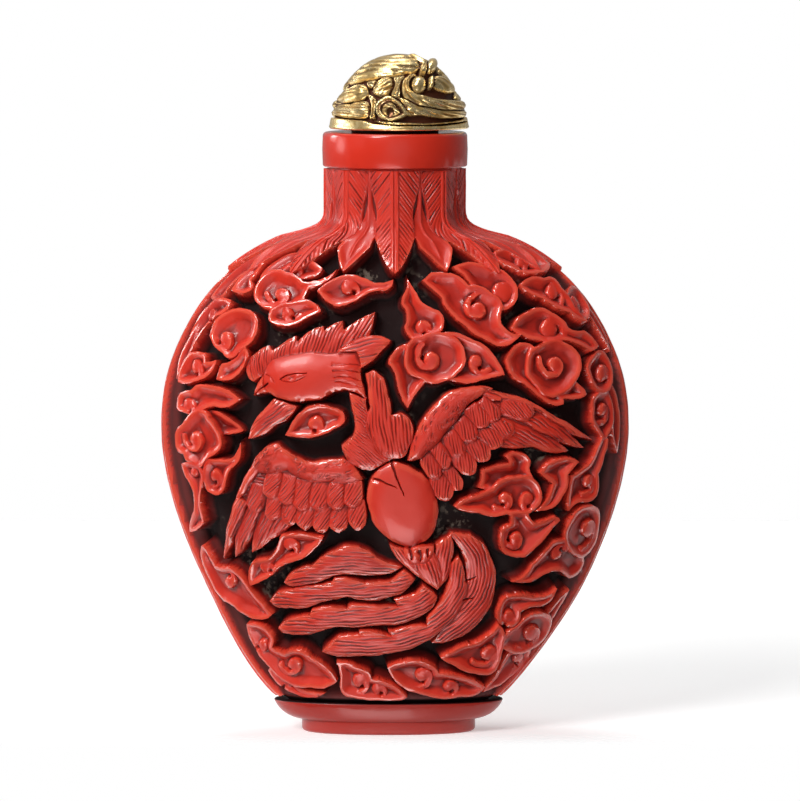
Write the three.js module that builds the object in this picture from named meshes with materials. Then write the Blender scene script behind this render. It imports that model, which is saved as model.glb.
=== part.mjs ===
// Carved red lacquer snuff bottle: a flattened ovoid body with a phoenix among clouds in deep
// relief, a leaf-carved neck, an oval foot, and a gilt domed stopper on a dark plug.
// Millimetres, +Z up, the front of the bottle faces -Y. Origin: under the body's axis on the
// plane that the foot stands on.
import * as THREE from 'three';

// ---------------------------------------------------------------- driving dimensions
const NECK_RADIUS = 7.0;
// Half width and half depth of the carved body's envelope, as joined cubic curves [r, z].
const WIDTH_CURVES = [
  [[11.6, 3.7], [14.6, 6.3], [23.4, 20.0], [23.4, 30.6]],
  [[23.4, 30.6], [23.4, 39.0], [19.1, 46.6], [11.2, 49.6]],
  [[11.2, 49.6], [6.65, 50.6], [NECK_RADIUS, 51.2], [NECK_RADIUS, 53.0]],
];
const DEPTH_CURVES = [
  [[5.8, 3.7], [8.6, 9.0], [11.5, 19.0], [11.5, 29.0]],
  [[11.5, 29.0], [11.5, 38.0], [9.6, 44.0], [8.4, 47.0]],
  [[8.4, 47.0], [7.3, 49.6], [NECK_RADIUS, 51.0], [NECK_RADIUS, 53.0]],
];
const SQUARENESS = 2.25; // exponent of the body's plan; the neck is round at 2
const ROUND_FROM_Z = 52;
const ROUND_OVER = 6;
const FOOT_LEAN = -0.65; // the foot stands a little left of the body's axis
const LEAN_FROM_Z = 16;
const LEAN_OVER = 12;

const CARVING_TOP_Z = 56.3;
const CARVING_BOTTOM_Z = 3.45;
const CARVING_END = 0.14; // height over which the carving rises from the foot
const RELIEF = 1.6; // from the tops of the carving down to the cut ground
const NECK_RELIEF = 0.7;
const NECK_RELIEF_Z = 51;
const BODY_RELIEF_Z = 48;
const WALL_RUN = 0.24; // plan width of a carved wall

const CLOUD_RIM = 0.35; // flat border of a cloud before it hollows
const CLOUD_HOLLOW_RUN = 0.75;
const CLOUD_HOLLOW = 0.7;
const KNOB_HEIGHT = 0.6;
const KNOB_EDGE = [0.55, 1.25]; // a knob falls away between these parts of its radius
const PILLOW_RUN = 2.2;
const COVERT_TIP = -0.1; // levels of a small feather's tip and root
const COVERT_ROOT = -0.45;

const LEAF_COUNT = 8;
const LEAF_TIP_Z = 46.3;
const LEAF_HALF = 1.95;
const LEAF_FLARE = 0.75; // added to the half width towards the lip
const LEAF_FLARE_FROM_Z = 52;
const LEAF_FLARE_TO_Z = 55.5;
const LEAF_POINT = 3.6; // length of the point above the tip
const LEAF_TAPER = 0.62; // exponent of the point's outline
const LEAF_BEND = 0.2; // how far a leaf's edges fall away from its rib
const LEAF_RIB = 0.08;
const LEAF_RIB_HALF = 0.45;
const UNDER_LEAF_TIP_Z = 46.5;
const UNDER_LEAF_SHOULDER_Z = 48.9;
const UNDER_LEAF_STEM = 0.25;
const UNDER_LEAF_STEM_Z = 53.5;
const UNDER_LEAF_FLARE = 1.45;
const UNDER_LEAF_TAPER = 0.8;
const UNDER_LEAF_LEVEL = -0.5;
const UNDER_LEAF_FULL_Z = 47.6; // the short leaves rise to the top of the carving at this height
const UNDER_LEAF_LOW_Z = 51.5;
const UNDER_LEAF_SCOOP = 0.28;
const UNDER_LEAF_EDGE = 0.9;

const BAND_TOP_Z = 48.3;
const BAND_HALF = 2.5;
const BAND_TAPER = 22;
const BAND_POINT = 0.8; // exponent of the band's upper end
const BAND_GROOVE = 0.4;
const BAND_GROOVE_IN = [0.35, 0.5]; // the groove's two walls, inwards from the band's edge
const BAND_GROOVE_OUT = [0.85, 1.05];
const BAND_GROOVE_END_Z = [38, 34];
const BAND_EDGE = 0.05;
const BAND_SUNK = 0.25; // the band dips by this much towards its upper end
const BAND_SUNK_Z = [34, 42];

const LIP_TOP_Z = 59.95;
const LIP_BOTTOM_Z = 56.5;
const LIP_RADIUS = 7.2;
const GROOVE_RADIUS = 6.6;
const MOUTH_RADIUS = 3.3;
// The turned top of the bottle as [radius, z]: groove, lip band with its roundings, and mouth.
const LIP_SECTION = [
  [GROOVE_RADIUS, CARVING_TOP_Z + 0.05],
  [GROOVE_RADIUS, LIP_BOTTOM_Z - 0.02],
  [LIP_RADIUS - 0.15, LIP_BOTTOM_Z],
  [LIP_RADIUS, LIP_BOTTOM_Z + 0.35],
  [LIP_RADIUS + 0.05, (LIP_TOP_Z + LIP_BOTTOM_Z) / 2],
  [LIP_RADIUS, LIP_TOP_Z - 0.5],
  [LIP_RADIUS - 0.12, LIP_TOP_Z - 0.15],
  [LIP_RADIUS - 0.45, LIP_TOP_Z],
  [MOUTH_RADIUS + 0.15, LIP_TOP_Z],
  [MOUTH_RADIUS, LIP_TOP_Z - 0.15],
];

const FLANGE_TOP_Z = 3.2;
const FLANGE = [11.45, 5.35];
const FOOT = [8.7, 4.75];
const FOOT_TOP_Z = 1.3;
const FOOT_RIM = 1.5;
const FOOT_RECESS = 0.5;
const FOOT_SQUARENESS = 2.2;
// The foot's under side and wall as [inset from its edge, z], from the recess outwards.
const FOOT_SECTION = [
  [FOOT_RIM + 0.15, FOOT_RECESS],
  [FOOT_RIM, 0],
  [0.4, 0],
  [0.12, 0.15],
  [0, 0.45],
];
const FLANGE_SECTION = [
  [0.2, FLANGE_TOP_Z + 0.05],
  [1.5, FLANGE_TOP_Z - 0.05],
];
const FLANGE_EDGE = 0.1; // the spread ends this far under the flange's top
const FLANGE_STEPS = 5;

const CAVITY = [19.0, 7.8, 21.0]; // half sizes of the hollow
const CAVITY_Z = 26.5;
const CAVITY_RINGS = 24;

const FRONT_COLUMNS = 300;
const BACK_COLUMNS = 170;
const CARVING_STEP = 0.19;
const BACK_WEIGHT = 0.25; // how much the thinning minds the back, against 1 for the front
const HOLLOW_WEIGHT = 0.05;
const TURNED_WEIGHT = 3;
const BOTTLE_TRIANGLES = 8600;

const PLUG_SHOULDER_RADIUS = 4.35;
const PLUG_TOP_Z = 60.3;
const PLUG_RADIUS = 3.0;
const PLUG_END_RADIUS = 2.75;
const PLUG_END_Z = 52.5;
const PLUG_SIDES = 24;

const CAP_RADIUS = 7.05;
const CAP_TOP_Z = 67.8;
const CAP_RELIEF = 0.85;
const CAP_EDGE = 0.12;
const CAP_BLEND = 0.6; // half width of the strip where the cap's two like halves meet
const CAP_COLUMNS = 132;
const CAP_RINGS = 52;
const CAP_OFFSET_X = 0.4; // the cap sits slightly right of the mouth
const CAP_TRIANGLES = 1000;

const RED = 0xb5281f;
const DARK = 0x17120f;
const GILT = 0xc9a04a;

// ---------------------------------------------------------------- motif rows
// Outlines are rows of corners [s, z, bulge]: s is the arc length along the surface from the
// front centre line, z the height, and bulge the rise of the arc to the next corner as a part
// of its chord, positive outwards. Knobs are [s, z, radius]. Rows run from back to front.
const CLOUDS = [
  {
    name: "high left leaf",
    level: -0.5,
    outline: [
      [-14.3, 46, 0.1], [-11.9, 48.1, 0.15], [-8.9, 48.4, 0.2], [-9.3, 47.6, 0], [-12.6, 46.2, -0.08],
    ],
    knobs: [],
  },
  {
    name: "shoulder leaf left",
    level: -0.45,
    outline: [
      [-21.2, 43.9, 0.12], [-14.6, 48.6, 0.1], [-16, 46.4, -0.1], [-18.2, 44.4, 0.2],
    ],
    knobs: [],
  },
  {
    name: "wedge left",
    level: -0.2,
    outline: [
      [-17.4, 44.5, 0.05], [-16.2, 46.2, -0.05], [-14.1, 48.2, 0.15], [-13.3, 48, 0.05],
      [-14.8, 45.7, 0.1], [-14.7, 44.7, 0.15],
    ],
    knobs: [],
  },
  {
    name: "small lobe behind",
    level: -0.3,
    outline: [
      [-11.7, 46.5, 0.3], [-7.2, 46.9, 0.15], [-8.7, 45.9, 0.15],
    ],
    knobs: [[-9.7, 46.8, 0.42]],
  },
  {
    name: "left edge leaf high",
    level: -0.3,
    outline: [
      [-23.8, 37.7, 0.1], [-20, 43.5, 0.12], [-17, 43.7, 0.15], [-18.9, 41.9, -0.05], [-22, 38.3, 0.1],
    ],
    knobs: [[-19.9, 42.2, 0.5]],
  },
  {
    name: "twin cloud left",
    level: 0,
    outline: [
      [-12.9, 42.8, 0.25], [-14.3, 45, 0.25], [-10.8, 46.4, 0.15], [-9.1, 45.5, -0.1],
      [-5.4, 47.15, 0.12], [-8.5, 44.8, -0.05], [-8.9, 43.7, 0.1],
    ],
    knobs: [[-11.4, 44.3, 0.65]],
  },
  {
    name: "twin cloud left lower",
    level: 0,
    outline: [
      [-12.5, 42.9, 0.05], [-8.7, 43.8, 0.14], [-7.2, 42.5, -0.05], [-9.3, 41.6, 0.08],
      [-11.7, 41.1, 0.3],
    ],
    knobs: [[-10.6, 42.5, 0.5]],
  },
  {
    name: "bean cloud",
    level: 0,
    outline: [
      [-7.75, 44.7, 0.2], [-2, 45.5, -0.1], [-0.2, 45.9, 0.25], [-1, 44.6, -0.06], [-3.3, 44, 0.28],
    ],
    knobs: [[-4.75, 45.05, 0.6]],
  },
  {
    name: "left edge leaf",
    level: -0.45,
    outline: [
      [-24.6, 35.4, 0.15], [-22.8, 40.2, 0.1], [-21.6, 41.4, 0.1], [-22.6, 37.8, 0.05],
    ],
    knobs: [],
  },
  {
    name: "hook under the round cloud",
    level: -0.1,
    outline: [
      [-18.3, 35.8, 0.1], [-17.6, 37.4, -0.1], [-15.1, 39.3, 0.2], [-15.2, 36.9, 0.2],
    ],
    knobs: [],
  },
  {
    name: "round cloud left",
    level: 0,
    outline: [
      [-19.3, 40, 0.12], [-18, 42.1, 0.15], [-14.5, 42.6, 0.2], [-13.7, 40.6, 0.1], [-14.9, 39.1, 0],
      [-16.1, 38.1, 0.25], [-17.6, 38.4, 0.1],
    ],
    knobs: [[-17.4, 39.85, 0.68]],
  },
  {
    name: "edge cloud with horn",
    level: -0.15,
    outline: [
      [-23.6, 35.2, 0.15], [-23, 37.2, 0.2], [-19.8, 38.4, 0.1], [-19.5, 37.6, -0.05],
      [-18.1, 37.8, 0.15], [-20.5, 35.5, 0.05],
    ],
    knobs: [[-21.1, 37, 0.6]],
  },
  {
    name: "shadow leaf",
    level: -0.7,
    outline: [
      [-19.9, 32.9, 0.1], [-15.3, 30.8, 0.1], [-18.6, 30.4, 0],
    ],
    knobs: [],
  },
  {
    name: "slug cloud",
    level: -0.05,
    outline: [
      [-23.5, 32.8, 0.25], [-21.4, 34.7, -0.02], [-20.7, 35.2, 0.12], [-15.4, 33.9, 0.12],
      [-18.4, 33, -0.06], [-20.2, 32.5, 0.1], [-22.6, 32.3, 0.1],
    ],
    knobs: [[-21.9, 33.1, 0.62]],
  },
  {
    name: "great round cloud left",
    level: 0,
    outline: [
      [-23.6, 28.9, 0.2], [-22.6, 31.2, 0.05], [-20.5, 32.8, 0.2], [-18.9, 32, 0.08],
      [-17.5, 29.9, 0.2], [-18.9, 28, 0], [-19.4, 27.5, 0.25], [-21.6, 27.2, 0.15],
      [-22.4, 28.1, 0.15],
    ],
    knobs: [[-20.8, 29.8, 0.68]],
  },
  {
    name: "claw cloud",
    level: -0.15,
    outline: [
      [-19.9, 25.6, 0.15], [-19.2, 27.9, -0.02], [-16.9, 28, -0.12], [-15.5, 29.95, 0.15],
      [-16.2, 27.2, -0.1], [-17.2, 25.4, 0.2], [-18.4, 24.2, 0.2],
    ],
    knobs: [[-18.6, 26.2, 0.55]],
  },
  {
    name: "left stem",
    level: -0.15,
    outline: [
      [-22.9, 27.2, 0.1], [-20.2, 27.2, 0.1], [-19.8, 25.6, -0.08], [-20.2, 22, 0.05],
      [-20.1, 21.2, 0.1], [-22.9, 20.2, 0.1], [-21.5, 22.5, -0.12], [-22.1, 25.6, 0.12],
    ],
    knobs: [[-21.2, 26.4, 0.5]],
  },
  {
    name: "long leaf low left",
    level: -0.1,
    outline: [
      [-21.5, 17.6, 0.1], [-20.9, 19.1, 0.12], [-19.1, 17, -0.05], [-17.3, 17.1, 0.1], [-14.9, 15, 0],
      [-12.2, 12.3, 0.15], [-13.6, 11.7, 0.1], [-16.9, 12.8, -0.02], [-18.6, 13.2, 0.12],
    ],
    knobs: [[-17.6, 15.3, 0.55]],
  },
  {
    name: "cloud under the wing",
    level: 0,
    outline: [
      [-11.9, 19.3, 0], [-11.4, 20.7, 0.03], [-7, 20.5, 0.1], [-9.6, 18, -0.04], [-11.6, 17, 0.08],
      [-14.9, 15.2, 0.1], [-14.5, 17.7, 0.05], [-12.8, 18.2, -0.08],
    ],
    knobs: [[-10.6, 19.5, 0.55], [-13.1, 17, 0.5]],
  },
  {
    name: "foot leaf left",
    level: -0.3,
    outline: [
      [-13.1, 6.2, 0.3], [-11, 6.3, 0], [-9.2, 4.6, -0.08], [-6.2, 4.2, 0.15], [-9.4, 3.7, 0.12],
    ],
    knobs: [[-11.6, 5.1, 0.55]],
  },
  {
    name: "low cloud left",
    level: 0,
    outline: [
      [-15.4, 11.3, 0.15], [-12.3, 10.3, 0.2], [-12.1, 9, -0.05], [-10.9, 8.4, 0.22], [-7.8, 8, 0.1],
      [-5.1, 5.5, 0.12], [-7.8, 4.8, 0.1], [-10.2, 5.1, 0.05], [-13.4, 7.5, 0.08],
    ],
    knobs: [[-9.8, 7.2, 0.6], [-13.5, 9.1, 0.5]],
  },
  {
    name: "foot cloud middle",
    level: 0,
    outline: [
      [-5.4, 7.65, 0.08], [-2.1, 6.6, 0.1], [-1.7, 5.9, 0.12], [1.95, 3.95, 0.12], [-1, 3.6, 0.03],
      [-4.2, 3.9, 0.2], [-4.9, 5.6, -0.08],
    ],
    knobs: [[-3, 5.6, 0.6], [-1.1, 4.7, 0.5]],
  },
  {
    name: "foot cloud right",
    level: 0,
    outline: [
      [-0.25, 7.1, 0.15], [4.3, 7.3, 0.15], [4.9, 6.5, 0.08], [10, 4.8, 0.15], [7.2, 3.8, 0.05],
      [4, 3.9, 0], [1.9, 4.6, 0.1],
    ],
    knobs: [[3.3, 6.2, 0.65], [6.1, 4.9, 0.5]],
  },
  {
    name: "foot leaf right",
    level: -0.3,
    outline: [
      [9.7, 4, -0.05], [12.2, 8.2, 0.1], [15.4, 8.4, 0.3], [14.8, 6.4, 0.05], [12.4, 4.8, 0.05],
    ],
    knobs: [[13.9, 7.3, 0.5]],
  },
  {
    name: "thin leaf right",
    level: -0.25,
    outline: [
      [15.6, 11.3, 0.05], [19.2, 14.6, 0.08], [18.3, 12.6, -0.05], [17.2, 10.2, 0.1],
    ],
    knobs: [],
  },
  {
    name: "round cloud low right",
    level: 0,
    outline: [
      [10.8, 9.2, 0.1], [12.6, 11.2, 0.12], [15, 12.5, 0.15], [17.2, 11.4, 0.2], [16.6, 9.2, 0.1],
      [13.4, 8.1, 0.1],
    ],
    knobs: [[14.8, 10.1, 0.85]],
  },
  {
    name: "curl with horn",
    level: 0,
    outline: [
      [12.3, 11, 0.35], [10.6, 13.6, 0.15], [12.2, 14.5, 0.05], [14.4, 14.1, -0.08],
      [17.1, 14.9, 0.15], [15, 12.9, -0.1], [13, 12.6, 0.15],
    ],
    knobs: [[11.6, 12, 0.55]],
  },
  {
    name: "low cloud right",
    level: 0,
    outline: [
      [4.95, 8.1, 0.05], [7.6, 9.4, -0.1], [10.7, 11.5, 0.2], [11.5, 9.6, 0], [11.4, 7.6, 0.25],
      [8.9, 6.1, 0.05],
    ],
    knobs: [[10, 8.3, 0.7]],
  },
  {
    name: "wave leaf right",
    level: -0.25,
    outline: [
      [11.3, 15.8, -0.2], [13.9, 17.4, -0.05], [16, 19.6, 0.05], [17.8, 19.8, 0.1], [20.6, 17.9, 0.2],
      [20.4, 16.1, 0.1], [18.6, 15.6, -0.15], [15, 16.1, 0.15],
    ],
    knobs: [[17, 18.2, 0.45]],
  },
  {
    name: "ring cloud right",
    level: -0.2,
    outline: [
      [17.6, 19.6, 0.15], [18.3, 22, 0.15], [20.9, 23.2, 0.2], [22.6, 20.6, 0.25], [20.4, 17.7, 0.2],
    ],
    knobs: [[20.9, 20.5, 0.85]],
  },
  {
    name: "tall tail right",
    level: -0.2,
    outline: [
      [17.9, 22.4, 0.1], [18.1, 26.3, 0], [20.2, 27.4, -0.05], [21.8, 30.3, 0.3], [22.8, 29.6, 0.05],
      [21.5, 26.2, 0.12], [21.5, 23.9, 0.1], [19.2, 23.4, -0.1],
    ],
    knobs: [[20.3, 25.4, 0.55]],
  },
  {
    name: "flower cloud right wing",
    level: -0.25,
    outline: [
      [8.1, 25.2, -0.1], [8.5, 27.1, 0.05], [11.4, 27.7, -0.05], [10.9, 28.3, 0.2], [12.6, 28.8, 0.25],
      [13.6, 27.2, -0.1], [14.4, 25.8, 0.1], [12, 24.2, 0],
    ],
    knobs: [],
  },
  {
    name: "flower cloud right",
    level: 0,
    outline: [
      [5.8, 23.5, 0.05], [7.6, 24.6, -0.02], [9.6, 25.2, 0.15], [12.2, 26.5, 0.15], [14.6, 25.4, 0.25],
      [13.8, 22.8, 0.15], [11, 22.5, 0.1], [8.4, 22.7, 0.1],
    ],
    knobs: [[10.95, 24.1, 0.55], [13.4, 24, 0.55]],
  },
  {
    name: "flame right of the flower",
    level: 0,
    outline: [
      [13.9, 22.8, 0.15], [16.9, 23.9, 0.1], [17.7, 26.3, -0.03], [18.9, 27.6, 0.12],
      [16.4, 28.1, 0.1], [14.4, 26.6, 0], [15.9, 25.4, -0.1],
    ],
    knobs: [],
  },
  {
    name: "spiral cloud right",
    level: 0,
    outline: [
      [11.3, 22.9, 0], [13.4, 23, -0.1], [14, 21.7, -0.05], [16.2, 22.4, 0.15], [16.9, 21.8, 0],
      [14.9, 19.8, 0.05], [13, 18.2, 0.35], [10.4, 20.9, 0.1], [11.5, 21.7, 0],
    ],
    knobs: [[12.1, 20, 0.55]],
  },
  {
    name: "right edge leaf",
    level: -0.4,
    outline: [
      [22.4, 36, 0.1], [25, 33.6, 0.1], [24.8, 27.9, 0.1], [23.4, 32.4, 0],
    ],
    knobs: [],
  },
  {
    name: "right edge cloud low",
    level: -0.3,
    outline: [
      [20.6, 31.4, 0.05], [20.5, 33.6, 0.2], [23, 34.4, 0.15], [23.7, 31, 0.1], [22.2, 29.6, 0.05],
    ],
    knobs: [[22.2, 32.6, 0.6]],
  },
  {
    name: "right edge cloud",
    level: -0.15,
    outline: [
      [20, 36.2, 0.2], [20.9, 38.1, 0.25], [23.2, 37.9, 0.2], [23.7, 35.2, 0.2], [21.4, 34.4, 0.1],
    ],
    knobs: [[22.2, 36.2, 0.7]],
  },
  {
    name: "right edge leaf high",
    level: -0.35,
    outline: [
      [21, 43.4, 0.1], [24.9, 39.6, 0.1], [24.6, 38.2, 0], [21.8, 41.6, 0.1],
    ],
    knobs: [],
  },
  {
    name: "shoulder curl right",
    level: -0.2,
    outline: [
      [17.9, 42.8, 0.25], [19.6, 44.9, 0.3], [22, 42.6, 0.2], [20.2, 41.6, 0.1],
    ],
    knobs: [[19.3, 43.4, 0.6]],
  },
  {
    name: "shoulder cloud right",
    level: -0.15,
    outline: [
      [12.4, 45, 0.15], [15.5, 45.9, 0.2], [17.8, 44.8, 0.1], [19.2, 42.9, -0.05], [21.2, 41.3, 0.1],
      [18.2, 42.3, 0.05], [15, 43.8, 0.05],
    ],
    knobs: [[16.6, 44.5, 0.7]],
  },
  {
    name: "shoulder cloud high right",
    level: -0.1,
    outline: [
      [9.6, 48, 0.12], [12.6, 48.8, 0.2], [17.7, 47, 0.05], [15.2, 46.2, 0.12], [12.6, 46.6, 0.05],
    ],
    knobs: [[13.2, 47.6, 0.58]],
  },
  {
    name: "cloud with arrow tail",
    level: -0.1,
    outline: [
      [11.5, 41, 0.12], [13.2, 42.6, 0.15], [16, 42.5, 0.1], [17.9, 40.9, -0.05], [19.9, 40.6, 0.05],
      [21.9, 38.9, 0.12], [20.4, 38.4, -0.05], [17.6, 39.6, 0.05], [14.4, 39.7, 0.1],
    ],
    knobs: [[15.8, 40.9, 0.9]],
  },
  {
    name: "rose cloud right back",
    level: -0.1,
    outline: [
      [13.6, 39.5, 0.25], [11, 37.9, 0.15], [12.8, 35.4, 0], [15.3, 33.5, 0.1], [17.2, 33.4, 0.2],
      [16.3, 34.8, 0.1],
    ],
    knobs: [],
  },
  {
    name: "rose cloud right thorn",
    level: -0.1,
    outline: [
      [16.6, 34, 0.05], [18.3, 35.9, 0.05], [19.9, 34.2, 0.1],
    ],
    knobs: [],
  },
  {
    name: "rose cloud right",
    level: 0,
    outline: [
      [14, 35.3, 0.15], [13.1, 37.6, 0.2], [14.2, 39.2, 0.15], [17.2, 39.5, 0.15], [19.2, 37.6, 0.15],
      [18.4, 35.5, 0], [17.6, 34.7, 0.25],
    ],
    knobs: [[16.25, 37.4, 0.7]],
  },
  {
    name: "heart cloud right back",
    level: -0.1,
    outline: [
      [5.6, 47.1, 0.12], [9.6, 46.9, 0.15], [12.3, 45.2, 0.25], [10.9, 42.6, 0.1], [8, 44, -0.1],
    ],
    knobs: [[10.9, 44.6, 1]],
  },
  {
    name: "heart cloud right",
    level: 0,
    outline: [
      [2.5, 45.6, 0], [3.5, 46.45, 0.05], [5.8, 46.4, 0.05], [7.3, 45.3, 0.1], [9.7, 44.4, 0.15],
      [10.8, 43, -0.1], [10.7, 41.4, -0.1], [12.7, 40.3, 0.1], [11.2, 39.3, 0.15], [9.2, 39.6, 0.05],
      [5.2, 42.7, 0.1], [4.6, 43.9, -0.05],
    ],
    knobs: [[8.3, 42.9, 0.7]],
  },
  {
    name: "flame cloud",
    level: -0.05,
    outline: [
      [1.2, 46.4, -0.05], [2.2, 44.4, -0.12], [4.3, 42.8, 0.2], [4.8, 40.9, 0.1], [1.7, 39.9, 0.12],
      [0.8, 41.3, -0.12], [1, 42.9, 0.18], [0.7, 44.3, -0.1],
    ],
    knobs: [[2.6, 41.1, 0.58]],
  },
  {
    name: "rose cloud left horn",
    level: -0.1,
    outline: [
      [-0.7, 37.6, 0.3], [2.4, 39.3, 0], [3.2, 35.9, -0.05], [1.3, 33.1, 0.05], [0.1, 35.4, -0.1],
    ],
    knobs: [],
  },
  {
    name: "rose cloud left tail",
    level: -0.1,
    outline: [
      [4.6, 40.7, 0.08], [7.6, 40.1, 0.12], [11, 36.3, 0], [8.6, 35.9, 0.1], [5, 36, 0],
    ],
    knobs: [[8, 37.8, 0.65]],
  },
  {
    name: "rose cloud left",
    level: 0,
    outline: [
      [1.3, 36.7, 0.15], [1, 38.8, 0.2], [2.6, 40.3, 0.15], [5.4, 40.4, 0.2], [7, 38.2, 0.15],
      [6.3, 36.6, 0.1], [4.8, 35.8, 0.15], [2.6, 36, 0.05],
    ],
    knobs: [[3.6, 38.05, 0.7]],
  },
  {
    name: "cloud under the chin",
    level: 0,
    outline: [
      [-10.95, 30.5, 0.08], [-8.7, 33.4, 0.1], [-5, 33, 0.25], [-5.7, 31.2, 0.05], [-7.4, 30.5, 0.1],
    ],
    knobs: [[-8, 31.7, 0.62]],
  },
];
// The bird's smooth and feathered parts, in the same terms; crown is how far a part's edge
// falls away from its middle.
const BIRD = [
  {
    name: "wattle",
    level: -0.25,
    crown: 0.25,
    outline: [
      [-12.1, 34.1, 0], [-9.6, 33.4, 0.1], [-11.8, 31.4, 0.1], [-14.85, 30, 0.05], [-14.3, 31.8, 0.05],
      [-13.3, 33, 0.05],
    ],
  },
  {
    name: "crest",
    level: -0.3,
    crown: 0.2,
    outline: [
      [-15.05, 36.5, 0.15], [-14.6, 38.2, 0.1], [-12.6, 39.35, 0.05], [-12.3, 38.9, 0.05],
      [-9.8, 40.4, 0], [-9.7, 39.8, 0.08], [-7, 41.4, 0], [-7, 41, 0.06], [-5.2, 42, 0],
      [-5.1, 41, 0.03], [-1.95, 42.85, 0.05], [-2.5, 40.2, 0], [-5.8, 38.6, 0], [-12, 37.9, 0],
      [-13.3, 36.4, 0], [-14.3, 35.7, 0.15],
    ],
  },
  {
    name: "right primary 1",
    level: -0.2,
    crown: 0.3,
    outline: [
      [8.6, 35.2, 0.02], [11.9, 34.5, 0.04], [15.4, 32.8, 0.02], [21.2, 29.4, 0.02],
      [17.6, 30.6, 0.05], [9, 33, 0],
    ],
  },
  {
    name: "right primary 2",
    level: -0.3,
    crown: 0.3,
    outline: [
      [9, 33.8, 0.08], [15, 32.4, 0.04], [19.9, 28.9, 0.05], [17, 29.5, 0.06], [10, 31, 0],
    ],
  },
  {
    name: "right primary 3",
    level: -0.35,
    crown: 0.3,
    outline: [
      [9, 32.4, 0.1], [14, 31, 0.04], [18.1, 28.6, 0.08], [14, 29.1, 0.02], [10.4, 29.2, 0],
    ],
  },
  {
    name: "left primary 1",
    level: -0.2,
    crown: 0.3,
    outline: [
      [-14, 26.8, 0], [-15.9, 24.8, 0.03], [-17.3, 21.6, 0.03], [-18.15, 17.3, 0.02],
      [-16.7, 19.8, 0.04], [-14.9, 23.6, 0],
    ],
  },
  {
    name: "left primary 2",
    level: -0.3,
    crown: 0.3,
    outline: [
      [-14.2, 24.6, 0], [-16.2, 21, 0.05], [-16.8, 17.8, 0.08], [-14.4, 20.4, 0.08], [-12.9, 23.4, 0],
    ],
  },
  {
    name: "left primary 3",
    level: -0.35,
    crown: 0.3,
    outline: [
      [-13.4, 23.4, 0.04], [-14.9, 18.3, 0.05], [-12.6, 19.8, 0.06], [-10.2, 21.6, 0],
      [-10.6, 23.4, 0],
    ],
  },
  {
    name: "left wing bed",
    level: -0.6,
    crown: 0.1,
    outline: [
      [-15.7, 24, 0], [-14.3, 26.8, 0], [-10.7, 27.4, 0], [-4.4, 26.6, 0], [-3, 24.4, 0],
      [-4.5, 22.4, 0], [-13, 22.6, 0],
    ],
  },
  {
    name: "right wing bed",
    level: -0.6,
    crown: 0.1,
    outline: [
      [2.4, 27.8, 0], [4.6, 31.6, 0], [8.6, 34.2, 0], [10.4, 33, 0], [8, 29, 0], [5.2, 26.4, 0],
    ],
  },
  {
    name: "left shoulder band",
    level: -0.05,
    crown: 0.4,
    outline: [
      [-3, 26.2, 0], [-4.3, 27.8, 0.02], [-5.2, 28.35, 0], [-8.2, 27.9, -0.06], [-11.8, 29.75, 0.15],
      [-14.5, 27.3, 0.04], [-16.4, 23.9, 0], [-15.5, 24.2, -0.02], [-13.8, 26.7, 0.1],
      [-10.7, 26.95, 0.05], [-8.3, 25.75, -0.06], [-5.4, 25.6, 0.04],
    ],
  },
  {
    name: "right shoulder band",
    level: 0,
    crown: 0.4,
    outline: [
      [1.15, 27.95, 0.02], [2.4, 31.8, 0.04], [5, 34.7, 0.08], [8.9, 35.4, 0.04], [10, 35.1, 0],
      [7.6, 33.8, 0], [5.2, 30.9, 0.02], [2.8, 28.4, 0.08],
    ],
  },
  {
    name: "left mane",
    level: -0.2,
    crown: 0.25,
    outline: [
      [-4.7, 34.9, 0], [-2.8, 34.2, 0], [-2.5, 30.5, 0], [-0.2, 28.1, 0], [-2.4, 27, 0.12],
      [-4.6, 27.9, 0.1], [-5.35, 29.5, 0], [-4.2, 30.6, -0.08], [-4.3, 33.2, 0],
    ],
  },
  {
    name: "right mane",
    level: -0.05,
    crown: 0.3,
    outline: [
      [-2.95, 36.7, 0], [-2.1, 37.1, 0.12], [-0.6, 34.6, 0.08], [-0.4, 32.6, -0.08], [0.5, 32.85, 0.2],
      [1.8, 31.2, 0.12], [1.4, 29.2, 0.2], [-0.2, 28.1, 0.15], [-2.3, 29.9, 0.15], [-2.5, 33.4, 0],
    ],
  },
  {
    name: "plume 5",
    level: -0.25,
    crown: 0.25,
    outline: [
      [5.3, 20.8, 0.02], [7.6, 20.6, 0.08], [9.6, 18.6, 0.06], [10.25, 15.6, 0.06], [9.4, 12.3, 0.08],
      [7, 9.95, 0.08], [3.9, 9.4, 0], [5.4, 11.6, 0], [7.2, 15.6, -0.04], [6.6, 18.8, 0],
    ],
  },
  {
    name: "plume 1",
    level: -0.3,
    crown: 0.25,
    outline: [
      [0.9, 17.3, 0.1], [-2.6, 16.35, -0.04], [-6.3, 16.2, 0.03], [-9.6, 15.15, 0.12],
      [-11.45, 15.55, 0.1], [-8.9, 17.4, 0], [-8.4, 17.3, 0.06], [-5.2, 19.4, 0.12],
      [-1.8, 18.4, -0.05],
    ],
  },
  {
    name: "plume 2",
    level: -0.2,
    crown: 0.25,
    outline: [
      [2.1, 16, 0.1], [-0.5, 14.1, 0.08], [-4.8, 14.15, -0.03], [-8.6, 13.05, 0.04],
      [-10.6, 12.85, 0.15], [-12.95, 13.65, 0.1], [-10.4, 15, 0], [-6.4, 15.7, 0], [-6.2, 16.1, 0.08],
      [-3, 15.7, 0], [-0.6, 15.9, 0], [0.9, 17.1, 0.05],
    ],
  },
  {
    name: "plume 3",
    level: -0.12,
    crown: 0.25,
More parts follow.
